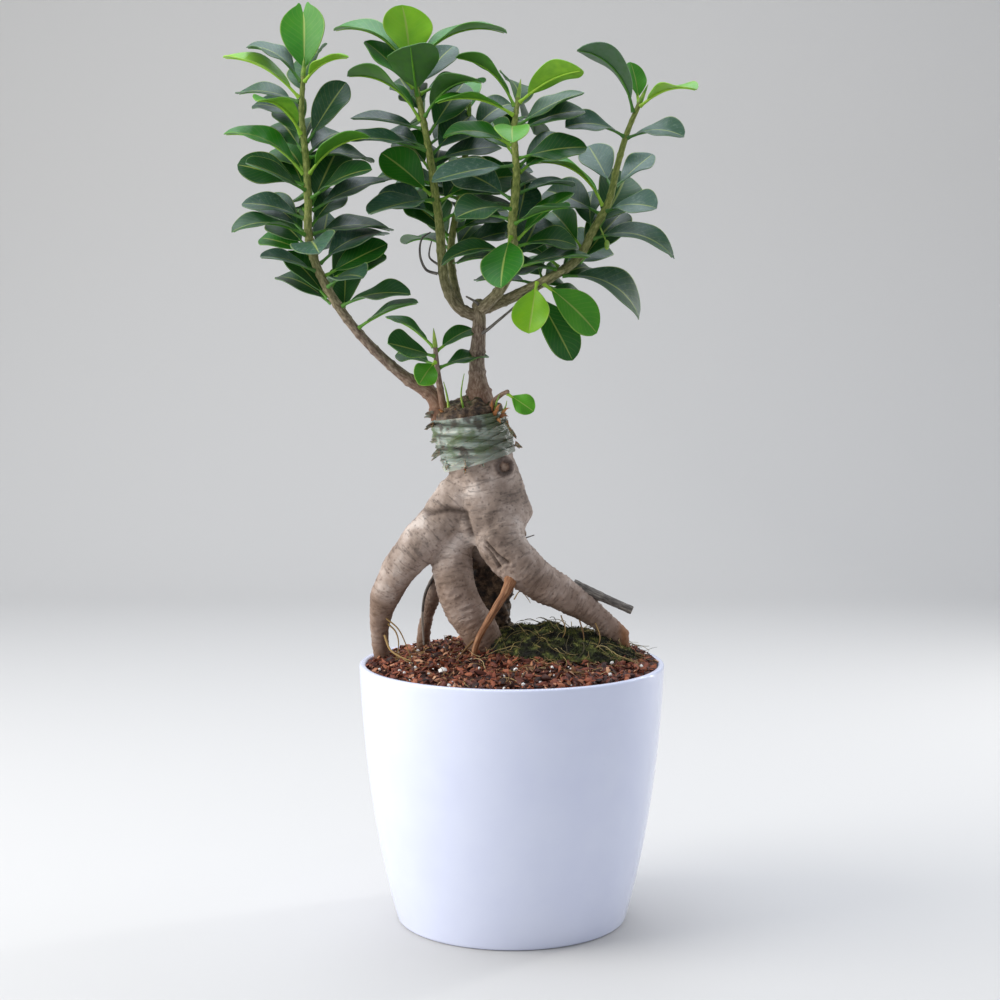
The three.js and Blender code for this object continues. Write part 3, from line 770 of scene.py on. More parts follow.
# Fig bark: thin and tight, pale pinkish grey, matt. Dark broken lines cross it every 1 to 2 mm
# and corky pores speckle it; it browns towards the soil and is dark brown at the cut neck.
bark, tree = new_finish("grey_fig_bark")
place = add(tree, "TexCoord").outputs["Object"]
height = add(tree, "SeparateXYZ", {"Vector": place}).outputs["Z"]
along = add(tree, "Attribute", attribute_name="grain").outputs["Vector"]
old = add(tree, "Attribute", attribute_name="old_wood").outputs["Fac"]
CRACK_SPACING, CRACK_WIDTH, BLOTCH, PORE = 1.6, 8, 16, 1.1
blotch = add(tree, "TexNoise", {"Vector": place, "Scale": 1 / (BLOTCH * MM), "Detail": 5.0,
    "Roughness": 0.62})
skin = colour_bands(add(tree, "ValToRGB", {"Fac": blotch}), [(0.3, "#705f54"), (0.43, "#928073"),
    (0.56, "#b3a195"), (0.7, "#d6c8be")])
stretched = add(tree, "Mapping", {"Vector": along,
    "Scale": (1 / CRACK_SPACING, 1 / CRACK_WIDTH, 1 / CRACK_WIDTH)})
cracks = add(tree, "TexNoise", {"Vector": stretched, "Scale": 1.0, "Detail": 4.0, "Roughness": 0.6})
crack_dark = add(tree, "MapRange", {"Value": cracks, "From Min": 0.36, "From Max": 0.47,
    "To Min": 0.62, "To Max": 1.0})
pores = add(tree, "TexVoronoi", {"Vector": place, "Scale": 1 / (2.2 * PORE * MM)})
pore_dark = add(tree, "MapRange", {"Value": pores, "From Min": 0.1, "From Max": 0.3, "To Min": 0.6,
    "To Max": 1.0})
marks = add(tree, "Math", {0: crack_dark, 1: pore_dark}, operation="MULTIPLY")
marked = add(tree, "Mix", {"Factor": 1.0, "A": skin, "B": marks}, data_type="RGBA",
    blend_type="MULTIPLY")
low = add(tree, "MapRange", {"Value": height, "From Min": 128 * MM, "From Max": 190 * MM, "To Min": 0.75,
    "To Max": 0.0})
soiled = add(tree, "Mix", {"Factor": low, "A": marked, "B": linear("#76543a")}, data_type="RGBA")
husk_spots = add(tree, "TexNoise", {"Vector": place, "Scale": 1 / (3.5 * MM), "Detail": 6.0,
    "Roughness": 0.65})
husk_shade = colour_bands(add(tree, "ValToRGB", {"Fac": husk_spots}), [(0.36, "#1d150f"),
    (0.48, "#3f3024"), (0.6, "#6d5843"), (0.74, "#9c866c")])
run_out = add(tree, "SeparateXYZ", {"Vector": place}).outputs["X"]
cut_end = add(tree, "MapRange", {"Value": run_out, "From Min": 51.5 * MM, "From Max": 55 * MM,
    "To Max": 0.85})
ended = add(tree, "Mix", {"Factor": cut_end, "A": soiled, "B": linear("#8a5a32")}, data_type="RGBA")
lumpy = add(tree, "Mix", {"Factor": old, "A": ended, "B": husk_shade}, data_type="RGBA")
# painted shade: the folds where two roots meet are darkened towards dark brown
crease_shade_factor = add(tree, "Attribute", attribute_name="crease").outputs["Fac"]
with_crease_shade = add(tree, "Mix", {"Factor": crease_shade_factor, "A": lumpy, "B": linear("#38281e")}, data_type="RGBA")
neck = add(tree, "MapRange", {"Value": height, "From Min": 246.5 * MM, "From Max": 249.5 * MM})
callus = add(tree, "Mix", {"Factor": neck, "A": with_crease_shade, "B": husk_shade}, data_type="RGBA")
flattened = add(tree, "VectorMath", {0: place, 1: SCAR_FLAT}, operation="MULTIPLY")
scar_gap = add(tree, "VectorMath", {0: flattened, 1: SCAR * SCAR_FLAT * MM}, operation="DISTANCE")
ragged = add(tree, "Math", {0: husk_spots, 1: 0.7, 2: -0.35}, operation="MULTIPLY_ADD")
scar_reach = add(tree, "Math", {0: scar_gap, 1: 1 / (6 * MM), 2: ragged}, operation="MULTIPLY_ADD")
scar_shade = colour_bands(add(tree, "ValToRGB", {"Fac": scar_reach}), [(0.1, "#a3835f"),
    (0.28, "#6d4a2e"), (0.45, "#301b10"), (0.8, "#3a2316")])
scar_dark = colour_bands(add(tree, "ValToRGB", {"Fac": scar_reach}), [(0.1, "#8c8c8c"),
    (0.4, "#f2f2f2"), (0.68, "#d8d8d8"), (0.95, "#000000")])
scarred = add(tree, "Mix", {"Factor": scar_dark, "A": callus, "B": scar_shade}, data_type="RGBA")
relief = add(tree, "Math", {0: marks, 1: blotch}, operation="ADD")
ridged = add(tree, "Bump", {"Height": relief, "Strength": 0.7, "Distance": 0.5 * MM})
fill(tree, tree.nodes["Principled BSDF"], {"Base Color": scarred, "Normal": ridged, "Roughness": 0.78})
mesh.materials.append(bark)

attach(rough_body, "root")
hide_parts("rootstock")

# Young bark on what springs from the roots: an orange-brown aerial root that has reached the
# soil, and a dead grey twig cut off square. Both grow out of the right root.
AERIAL = Route([(0, -11, 175), (-1.5, -17, 168), (-9.5, -19, 154.5), (-17, -17, 140),
                (-20, -14, 122)])
CUT_TWIG = Route([(30, -1, 166), (38, -2, 163), (59, -4, 154)])
young_bark, tree = new_finish("young_root_bark")
along = add(tree, "Attribute", attribute_name="grain").outputs["Vector"]
stretched = add(tree, "Mapping", {"Vector": along, "Scale": (0.12, 1.6, 1.6)})
fibre = add(tree, "TexNoise", {"Vector": stretched, "Scale": 1.0, "Detail": 5.0})
rust = colour_bands(add(tree, "ValToRGB", {"Fac": fibre}), [(0.3, "#5e3a22"), (0.5, "#8f5f3c"),
    (0.7, "#b98d68")])
ribbed = add(tree, "Bump", {"Height": fibre, "Strength": 0.6, "Distance": 0.3 * MM})
fill(tree, tree.nodes["Principled BSDF"], {"Base Color": rust, "Normal": ribbed, "Roughness": 0.7})


def gnarled(radii, seed, size=0.12, spacing=6):
    """A limb's radius along it, with the slow swellings of grown wood."""
    def radius_at(share):
        return radius_along(radii, share) * (
            1 + size * noise.noise(Vector((share * 60 / spacing, seed, 0))))
    return radius_at


aerial_root = make_piece("aerial_root", limb(AERIAL, gnarled([4.2, 2.1, 1.7, 1.5, 1.3], 3), 14, 60),
                         young_bark)
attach(aerial_root, "root")

dead_bark, tree = new_finish("dead_grey_bark")
along = add(tree, "Attribute", attribute_name="grain").outputs["Vector"]
run = add(tree, "SeparateXYZ", {"Vector": along}).outputs["X"]
stretched = add(tree, "Mapping", {"Vector": along, "Scale": (0.25, 1.5, 1.5)})
fibre = add(tree, "TexNoise", {"Vector": stretched, "Scale": 1.0, "Detail": 5.0})
ash = colour_bands(add(tree, "ValToRGB", {"Fac": fibre}), [(0.3, "#3f3a37"), (0.5, "#625c56"),
    (0.7, "#8d867d")])
end = add(tree, "MapRange", {"Value": run, "From Min": CUT_TWIG.length - 0.2,
    "From Max": CUT_TWIG.length + 0.1})
sawn = add(tree, "Mix", {"Factor": end, "A": ash, "B": linear("#a99f92")}, data_type="RGBA")
fill(tree, tree.nodes["Principled BSDF"], {"Base Color": sawn, "Roughness": 0.8})
cut_twig = make_piece("cut_twig", limb(CUT_TWIG, gnarled([3.2, 2.2, 2.0], 5), 16, 40, False), dead_bark)
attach(cut_twig, "root")

# ---------------------------------------------------------------- graft tape
# Clear stretch film wound by hand round the neck, six tilted turns over each other, to hold
# the scions while they took. It has gone milky, torn at its ends and grown green algae.

TAPE_ROUTE = Route([(-21.4, 0, 249.5), (-20.4, 0, 243), (-18, 0, 236), (-15.3, 0, 227)])
TAPE_RADII = [18.4, 18.4, 17.9, 18.0]
TURN_STEP, TURN_THICK, TURN_TILT = 3.9, 1.0, 0.16

tape_shape = limb(TAPE_ROUTE, lambda share: radius_along(TAPE_RADII, share), sides=150, steps=110,
                  round_end=False)
grain_layer = tape_shape.verts.layers.float_vector["grain"]
for vert in tape_shape.verts:
    line = vert[grain_layer]
    outward = math.hypot(line.y, line.z)
    spot = vert.co / MM
    middle = TAPE_ROUTE.at(line.x / TAPE_ROUTE.length)
    way = (spot - middle).normalized()
    turn = (line.x + TURN_TILT * spot.x + 1.1 * noise.noise(way * 1.4)) / TURN_STEP
    step = turn - math.floor(turn)
    layer = TURN_THICK * (1 - step) ** 1.6
    crease = 0.8 * abs(noise.fractal(Vector((way.x * 2.2, way.y * 2.2, spot.z / 1.9)), 1.0, 2.0, 2))
    slack = 1.1 * noise.noise(Vector((way.x * 2.4, way.y * 2.4, spot.z / 6)))
    vert.co = (middle + way * (outward + layer + crease + slack - 0.3)) * MM

# Milky film: pale grey green, wet gloss on the folds, stained green and brown where algae
# grows under it, painted shadow where a lap overlaps, and milky bands that are partly painted highlight.
film, tree = new_finish("milky_graft_film")
place = add(tree, "TexCoord").outputs["Object"]
along = add(tree, "Attribute", attribute_name="grain").outputs["Vector"]
bands = add(tree, "Mapping", {"Vector": place, "Rotation": (0, math.radians(10), 0),
    "Scale": (38, 38, 1 / (2.6 * MM))})
laps = add(tree, "TexNoise", {"Vector": bands, "Scale": 1.0, "Detail": 3.0, "Roughness": 0.55})
# the dark bands are painted shadow under each lap; the palest are partly painted highlight
milk_and_lap_light = colour_bands(add(tree, "ValToRGB", {"Fac": laps}), [(0.32, "#2b2a22"), (0.43, "#687162"),
    (0.54, "#98a397"), (0.68, "#c6ccbf")])
ALGAE = 9
stain = add(tree, "TexNoise", {"Vector": place, "Scale": 1 / (ALGAE * MM), "Detail": 3.0})
algae = add(tree, "MapRange", {"Value": stain, "From Min": 0.5, "From Max": 0.62, "To Max": 0.75})
green = add(tree, "Mix", {"Factor": algae, "A": milk_and_lap_light, "B": linear("#566a3b")}, data_type="RGBA")
grimy = add(tree, "MapRange", {"Value": stain, "From Min": 0.44, "From Max": 0.36, "To Max": 0.8})
brown = add(tree, "Mix", {"Factor": grimy, "A": green, "B": linear("#3a2c20")}, data_type="RGBA")
run = add(tree, "SeparateXYZ", {"Vector": along}).outputs["X"]
fray = add(tree, "MapRange", {"Value": run, "From Min": TAPE_ROUTE.length - 6,
    "From Max": TAPE_ROUTE.length - 1, "To Max": 0.6})
frayed = add(tree, "Mix", {"Factor": fray, "A": brown, "B": linear("#cfd4c8")}, data_type="RGBA")
# painted shade: the film is darkened towards its right side, away from the window
sideways = add(tree, "SeparateXYZ", {"Vector": place}).outputs["X"]
painted_right_shade = add(tree, "MapRange", {"Value": sideways, "From Min": -20 * MM, "From Max": -6 * MM,
    "To Max": 0.75})
aged = add(tree, "Mix", {"Factor": painted_right_shade, "A": frayed, "B": linear("#4d523c")}, data_type="RGBA")
wet = add(tree, "MapRange", {"Value": laps, "To Min": 0.25, "To Max": 0.5})
pleats = add(tree, "Bump", {"Height": laps, "Strength": 0.4, "Distance": 0.6 * MM})
fill(tree, tree.nodes["Principled BSDF"], {"Base Color": aged, "Roughness": wet, "Normal": pleats,
    "Subsurface Weight": 0.15, "Subsurface Scale": 1.5 * MM})

tape = make_piece("graft_film", tape_shape, film)
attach(tape, "root")
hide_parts("graft_tape")


def torn_flap(chance, root, way, long, wide):
    """A ragged scrap of film that stands off the winding, thin and crumpled."""
    flap = bmesh.new()
    bmesh.ops.create_grid(flap, x_segments=10, y_segments=5, size=0.5)
    course, drop = Vector(way).normalized(), Vector((0, 0, -1))
    side = course.cross(Vector((0, -0.3, 1))).normalized().cross(course)
    seed = chance.uniform(0, 50)
    for vert in flap.verts:
        out, over = vert.co.x + 0.5, vert.co.y
        ragged = 1 + 0.5 * noise.noise(Vector((over * 6, seed, 0)))
        crumple = 0.18 * noise.noise(Vector((out * 3, over * 3, seed)))
        spot = (Vector(root) + course * long * out * ragged + side * wide * over * (1 - 0.4 * out)
                + drop * long * 0.35 * out ** 2 + course.cross(side) * long * crumple)
        vert.co = spot * MM
    bmesh.ops.solidify(flap, geom=flap.faces, thickness=0.12 * MM)
    bmesh.ops.recalc_face_normals(flap, faces=flap.faces)
    return flap


chance = random.Random(53)
# each flap: where it leaves the winding, the way it points, its length and its width
FLAPS = [
    ((-38, -6, 250), (-1, -0.2, 0.3), 4.5, 4), ((-37, -8, 246), (-1, -0.3, -0.1), 4.5, 3.5),
    ((-34.5, -8, 238.5), (-1, -0.4, 0.1), 4.5, 3.5), ((-34, -8, 233), (-1, -0.3, -0.5), 5, 4),
    ((-30, -9, 229), (-0.5, -0.5, -1), 4.5, 5), ((-22, -17, 228), (-0.2, -0.5, -1), 4, 6),
    ((-14, -17, 229), (0.2, -0.5, -1), 3, 5), ((1.5, -5, 236), (1, -0.2, -0.2), 3, 3),
    ((-3, -11, 247), (0.7, -0.5, -1), 6, 2.5), ((-1, -8, 243), (1, -0.3, -0.8), 4, 2),
    ((-26, 17, 229), (0.1, 1, -0.8), 5, 6), ((-5, 15, 245), (0.8, 0.8, -0.5), 5, 4),
]
flaps = make_piece("film_scraps", gather([torn_flap(chance, *flap) for flap in FLAPS]), film)
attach(flaps, "root")

# ---------------------------------------------------------------- scions
# The shoots grafted on the stump. Young fig wood: brown and ringed with leaf scars low down,
# olive to green and smooth near the tip. Each is one stem that tapers evenly.

# each stem: its points and radii; the first is the leader that the crown branches from
STEMS = {
    "trunk": ([(-16, 0, 245), (-16, 0, 256), (-16.5, 0, 264), (-17, 0, 275), (-16, 0, 290),
               (-16, 0, 304)], [9, 7.2, 4, 3.6, 3.3, 3.1]),
    "shoot_left": ([(-34, -1, 247), (-38, -1, 258.5), (-51.5, -3, 268), (-66, -7, 281),
                    (-80, -11, 297.5), (-92, -13.5, 318), (-97, -14, 336), (-97, -14, 353),
                    (-98, -13, 371), (-100, -12, 393), (-99, -12, 412)],
                   [5.2, 3.4, 2.5, 2.3, 2.2, 2.1, 2, 1.8, 1.6, 1.4, 1.1]),
    "shoot_centre_left": ([(-16, 0, 297), (-26, 1, 302), (-32, 3, 312), (-34, 2, 325),
                           (-35, 1, 341), (-37, 0, 356), (-40, -2, 377), (-44, -3, 398),
                           (-49, -3, 418)], [3, 2.6, 2.3, 2.2, 2, 1.8, 1.6, 1.4, 1.1]),
    "shoot_back": ([(-25, 3, 302), (-27.5, 9, 310), (-30, 17, 326), (-29, 20, 340),
                    (-25, 22, 358), (-23, 20, 379), (-21, 16, 396)],
                   [2.2, 2, 1.8, 1.6, 1.3, 1]),
    "shoot_centre_right": ([(-15, -2, 301), (-6, -8, 310), (0, -12, 323), (0, -14, 341),
                            (2, -14, 362), (1, -12, 386), (3, -10, 402)],
                           [2.8, 2.6, 2.3, 2.1, 1.8, 1.5, 1.1]),
    "shoot_right": ([(-14, 1, 301), (3, 3, 308), (19, 4, 316.5), (32, 6, 325.5), (40, 6, 340),
                     (47, 6, 353), (51, 4, 370), (56, 2, 387), (62, 0, 401)],
                    [2.8, 2.6, 2.4, 2.2, 2, 1.8, 1.6, 1.4, 1.1]),
    "twig_low": ([(-4, 2, 306), (9, -8, 312), (24, -14, 319)], [1.8, 1.6, 1.2]),
    "sucker_front": ([(-32, -4, 247), (-34, -6, 258), (-36, -10, 272), (-37, -12, 284)],
                     [1.9, 1.7, 1.4, 1]),
    "sucker_right": ([(-11, -6, 248), (-9, -8, 256), (-5, -10, 260), (-2, -12, 261.5)],
                     [2.2, 1.6, 1.2, 0.9]),
}

# Shoot bark: fine lengthways furrows about 1 mm apart, pale pores, brown that greens upward.
shoot_bark, tree = new_finish("young_fig_bark")
place = add(tree, "TexCoord").outputs["Object"]
height = add(tree, "SeparateXYZ", {"Vector": place}).outputs["Z"]
along = add(tree, "Attribute", attribute_name="grain").outputs["Vector"]
FURROW = 1.0
stretched = add(tree, "Mapping", {"Vector": along, "Scale": (0.35, 1 / FURROW, 1 / FURROW)})
furrows = add(tree, "TexNoise", {"Vector": stretched, "Scale": 1.0, "Detail": 5.0,
    "Roughness": 0.62})
wood = colour_bands(add(tree, "ValToRGB", {"Fac": furrows}), [(0.3, "#45362a"), (0.45, "#6f5c4d"),
    (0.6, "#91806f"), (0.75, "#b0a190")])
twig = colour_bands(add(tree, "ValToRGB", {"Fac": furrows}), [(0.3, "#4f5c22"), (0.5, "#7b883c"),
    (0.7, "#a5a95e")])
aloft = add(tree, "MapRange", {"Value": height, "From Min": 290 * MM, "From Max": 350 * MM})
greening = add(tree, "Mix", {"Factor": aloft, "A": wood, "B": twig}, data_type="RGBA")
grown = add(tree, "MapRange", {"Value": height, "From Min": 250 * MM, "From Max": 272 * MM, "To Min": 0.7,
    "To Max": 0.0})
rusty = add(tree, "Mix", {"Factor": grown, "A": greening, "B": linear("#7d4f33")}, data_type="RGBA")
furrowed = add(tree, "Bump", {"Height": furrows, "Strength": 0.7, "Distance": 0.4 * MM})
fill(tree, tree.nodes["Principled BSDF"], {"Base Color": rusty, "Normal": furrowed, "Roughness": 0.72})

NODE_SPACING, NODE_SWELL = 9.5, 0.16
TRUNK_X, FLARE_TOP, FLARE_RUN, RIBS, RIB_SIZE = -16, 266, 20, 5, 0.13
stem_routes = {}
for number, (name, (points, radii)) in enumerate(STEMS.items()):
    route = Route(points)
    stem_routes[name] = route

    def stem_radius(share, radii=radii, length=route.length, seed=number):
        """Even taper, with a low ring at each old leaf joint and a little waver."""
        along = share * length
        joint = abs((along / NODE_SPACING + 0.3 * math.sin(along / 17 + seed)) % 1 - 0.5) * 2
        waver = 0.06 * noise.noise(Vector((along / 7, seed, 0)))
        return radius_along(radii, share) * (1 + waver + NODE_SWELL * max(0, joint - 0.75) / 0.25)

    sides = 40 if name == "trunk" else 20
    shape = limb(route, stem_radius, sides=sides, steps=int(route.length / 0.8))
    if name == "trunk":
        for vert in shape.verts:
            spot = vert.co / MM
            flare = max(0, (FLARE_TOP - spot.z) / FLARE_RUN)
            turn = math.atan2(spot.y, spot.x - TRUNK_X)
            rib = 1 + RIB_SIZE * flare * math.sin(RIBS * turn + 1.2)
            rib += 0.05 * noise.noise(spot / 3)
            vert.co.x = (TRUNK_X + (spot.x - TRUNK_X) * rib) * MM
            vert.co.y = spot.y * rib * MM
    stem = make_piece(name + "_wood", shape, shoot_bark)
    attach(stem, "root")
    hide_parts(name)

# ---------------------------------------------------------------- callus and buds
# Wood that has welled up over the cut neck and round the feet of the scions: dark, lumpy and
# dusted with algae. At its right edge a cluster of dead buds peels, and a new one sprouts.

CALLUS_CENTRE, CALLUS_REACH = Vector((-20.5, 0, 251.2)), Vector((16.2, 15, 4.2))
CALLUS_LUMPS = (1.5, 5, 4)
# where it climbs the foot of a scion: the foot's X and Y, how high it climbs and how wide
FEET = [(-16.5, 0, 5.5, 8), (-33, -1, 3.0, 5)]
callus_shape = bmesh.new()
bmesh.ops.create_icosphere(callus_shape, subdivisions=6, radius=1)
for vert in callus_shape.verts:
    way = vert.co.normalized()
    spot = CALLUS_CENTRE + way * CALLUS_REACH
    climb = 0
    for x, y, high, wide in FEET:
        climb += high * math.exp(-(math.hypot(spot.x - x, spot.y - y) / wide) ** 2) * max(0, way.z)
    turn = math.atan2(spot.y, spot.x - FEET[0][0])
    ridge = 1.1 * math.sin(7 * turn + 2.5 * noise.noise(spot / 6)) * max(0, way.z)
    lump = bumps(spot, *CALLUS_LUMPS)
    vert.co = (spot + way * (lump + 0.4 * ridge) + Vector((0, 0, climb + 0.5 * ridge))) * MM

callus_finish, tree = new_finish("weathered_callus")
place = add(tree, "TexCoord").outputs["Object"]
corky = add(tree, "TexNoise", {"Vector": place, "Scale": 1 / (3 * MM), "Detail": 7.0,
    "Roughness": 0.65})
cork = colour_bands(add(tree, "ValToRGB", {"Fac": corky}), [(0.35, "#231911"), (0.48, "#4a3828"),
    (0.6, "#77634c"), (0.72, "#a39683")])
algae_at = add(tree, "TexNoise", {"Vector": place, "Scale": 1 / (7 * MM), "Detail": 3.0})
algae = add(tree, "MapRange", {"Value": algae_at, "From Min": 0.5, "From Max": 0.62, "To Max": 0.6})
mossy = add(tree, "Mix", {"Factor": algae, "A": cork, "B": linear("#4c5a2b")}, data_type="RGBA")
cracked = add(tree, "Bump", {"Height": corky, "Strength": 0.8, "Distance": 0.8 * MM})
fill(tree, tree.nodes["Principled BSDF"], {"Base Color": mossy, "Normal": cracked, "Roughness": 0.85})
callus = make_piece("callus", callus_shape, callus_finish)
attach(callus, "root")

# Dead bud scales: papery, orange brown, each a thin curved blade with a point.
scale_finish = many_shades("dry_bud_scale", [(0.0, "#6b3f22"), (0.4, "#a06432"),
    (0.75, "#c08a55"), (1.0, "#8d9a3c")], 0.6)
# each scale: its foot, the way it points, its length and its half width
BUD_SCALES = [
    ((-11, -11, 250.5), (-0.3, -0.8, 0.9), 5, 1.5), ((-9, -12, 249.5), (0.5, -0.7, 0.6), 5.5, 1.7),
    ((-8, -11, 251), (0.6, -0.5, 1), 6, 1.4), ((-6, -11, 249), (1, -0.5, 0.1), 5, 1.5),
    ((-5, -10, 250.5), (1, -0.3, 0.7), 5.5, 1.3), ((-12, -12, 249.5), (-0.6, -0.8, 0.3), 4.5, 1.5),
    ((-10, -11, 251.5), (0.1, -0.4, 1), 7, 1.2), ((-7, -12, 248), (0.4, -0.9, -0.5), 4, 1.5),
    ((-33, -8, 250), (-0.7, -0.5, 0.7), 4.5, 1.3), ((-27, -12, 250.5), (-0.1, -0.6, 0.8), 4, 1.2),
]
scales = []
for foot, way, long, half in BUD_SCALES:
    course = Vector(way).normalized()
    bow = Vector((0, 0, 1)) * long * 0.2
    foot = Vector(foot)
    line = Route([foot, foot + course * long * 0.5 + bow, foot + course * long])

    def half_width(share, half=half):
        """Widest near the middle, and drawn to a point."""
        return half * (0.35 + 2.6 * share * (1 - share)) * (1.02 - share)

    scales.append(limb(line, half_width, sides=10, steps=10, round_end=False))
bud_scales = make_piece("bud_scales", gather(scales), scale_finish)
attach(bud_scales, "root")

# The pointed green buds that close each shoot, the sprouts at the neck, and one round fig.
bud_finish, tree = new_finish("green_bud")
place = add(tree, "TexCoord").outputs["Object"]
flush = add(tree, "TexNoise", {"Vector": place, "Scale": 1 / (3 * MM)})
fresh = colour_bands(add(tree, "ValToRGB", {"Fac": flush}), [(0.35, "#5f8a24"), (0.65, "#9cb94a")])
fill(tree, tree.nodes["Principled BSDF"], {"Base Color": fresh, "Roughness": 0.4,
    "Subsurface Weight": 0.2, "Subsurface Scale": 1.0 * MM})


def tapered(lines, drop, steps):
    """Thin round limbs, one for each listed route and radius, which thin out by a share."""
    return [limb(Route(points), lambda share, thick=thick: thick * (1.1 - drop * share), 8, steps)
            for points, thick in lines]


BUD_LENGTH, BUD_RADIUS = 8, 1.15
buds = []
for name in ("shoot_left", "shoot_centre_left", "shoot_back", "shoot_centre_right", "shoot_right",
             "sucker_front"):
    tip, course = stem_routes[name].at(1), stem_routes[name].heading(0.99)
    line = Route([tip - course * 1.2, tip + course * BUD_LENGTH * 0.5, tip + course * BUD_LENGTH])
    buds.append(limb(line, lambda share: BUD_RADIUS * (1 - share ** 1.6) + 0.12, sides=12, steps=12))
SPROUTS = [
    ([(-30.5, -8, 253), (-31.5, -9, 260), (-33, -9, 266)], 0.7),
    ([(-23, -10, 252), (-24.5, -11, 259), (-24, -11, 265), (-23, -11, 270)], 0.6),
    ([(-8.5, -10, 251), (-7.5, -11, 256), (-6, -11, 260)], 0.7),
    ([(-5, -10, 251), (-3, -11, 254.5), (-2.5, -11, 257)], 0.5),
]
buds += tapered(SPROUTS, 0.8, 14)
fig = limb(Route([(46, 2, 329.8), (46, 1, 332), (46, 0, 334.2)]),
           lambda share: 0.3 + 1.9 * math.sqrt(max(0, share * (1 - share))) * 1.05, sides=20, steps=16)
buds += [fig, limb(Route([(42, 6, 343), (44, 4, 338), (46, 2, 333)]), lambda share: 0.4, 6, 8)]
green_buds = make_piece("green_buds", gather(buds), bud_finish)
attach(green_buds, "root")

# Bare dead twigs in the crown, dark and thin, and dark hair roots hanging by the stump.
TWIGS = [
    ([(-36, 0, 318), (-41.5, 0, 320), (-44.5, 0, 327), (-43.5, 0, 335), (-39.5, 0, 338)], 0.7),
    ([(-35, 2, 322), (-40, 4, 326), (-40, 4, 330), (-39, 4, 334)], 0.6),
    ([(-15, -2, 289), (-12, -4, 291), (-6, -5, 296), (1, -8, 302), (6, -10, 308)], 0.8),
    ([(-33, 4, 176), (-39, 12, 168), (-43, 14, 160), (-44.5, 14, 150), (-44, 14, 134)], 0.9),
    ([(3, 2, 188), (8, 2, 189.5), (11, 2, 190.5)], 0.45),
    ([(-14, 0, 300), (-17, -5, 304), (-22, -8, 307)], 0.9),
]
bare_twigs = make_piece("bare_twigs", gather(tapered(TWIGS, 0.6, 30)), dead_bark)
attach(bare_twigs, "root")

# Pale thread roots that leave the left root low down and dive into the mix.
THREADS = [
    ([(-61.5, 6, 146), (-57.5, 5, 142), (-56, 4, 136), (-57.5, 3, 128)], 0.45),
    ([(-62, 3, 149), (-56, 1, 144), (-52, 0, 136), (-49, -2, 128)], 0.4),
    ([(-63, 6, 140), (-60, 0, 134), (-54, -6, 131), (-47, -10, 129.5), (-40, -16, 130)], 0.55),
    ([(-19, -12, 140), (-24, -15, 135), (-28, -18, 131)], 0.6),
    ([(1, -8, 160), (4, -8, 164), (8, -7, 160), (9, -6, 158)], 0.3),
    ([(33, -8, 150), (35, -12, 142), (34, -14, 136)], 0.35),
    ([(24, -7, 152), (26, -11, 145), (22, -14, 138)], 0.3),
    ([(41, -6, 148), (43, -10, 141), (40, -13, 134)], 0.35),
]
thread_roots = make_piece("thread_roots", gather(tapered(THREADS, 0.6, 30)), fibre_finish)
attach(thread_roots, "root")
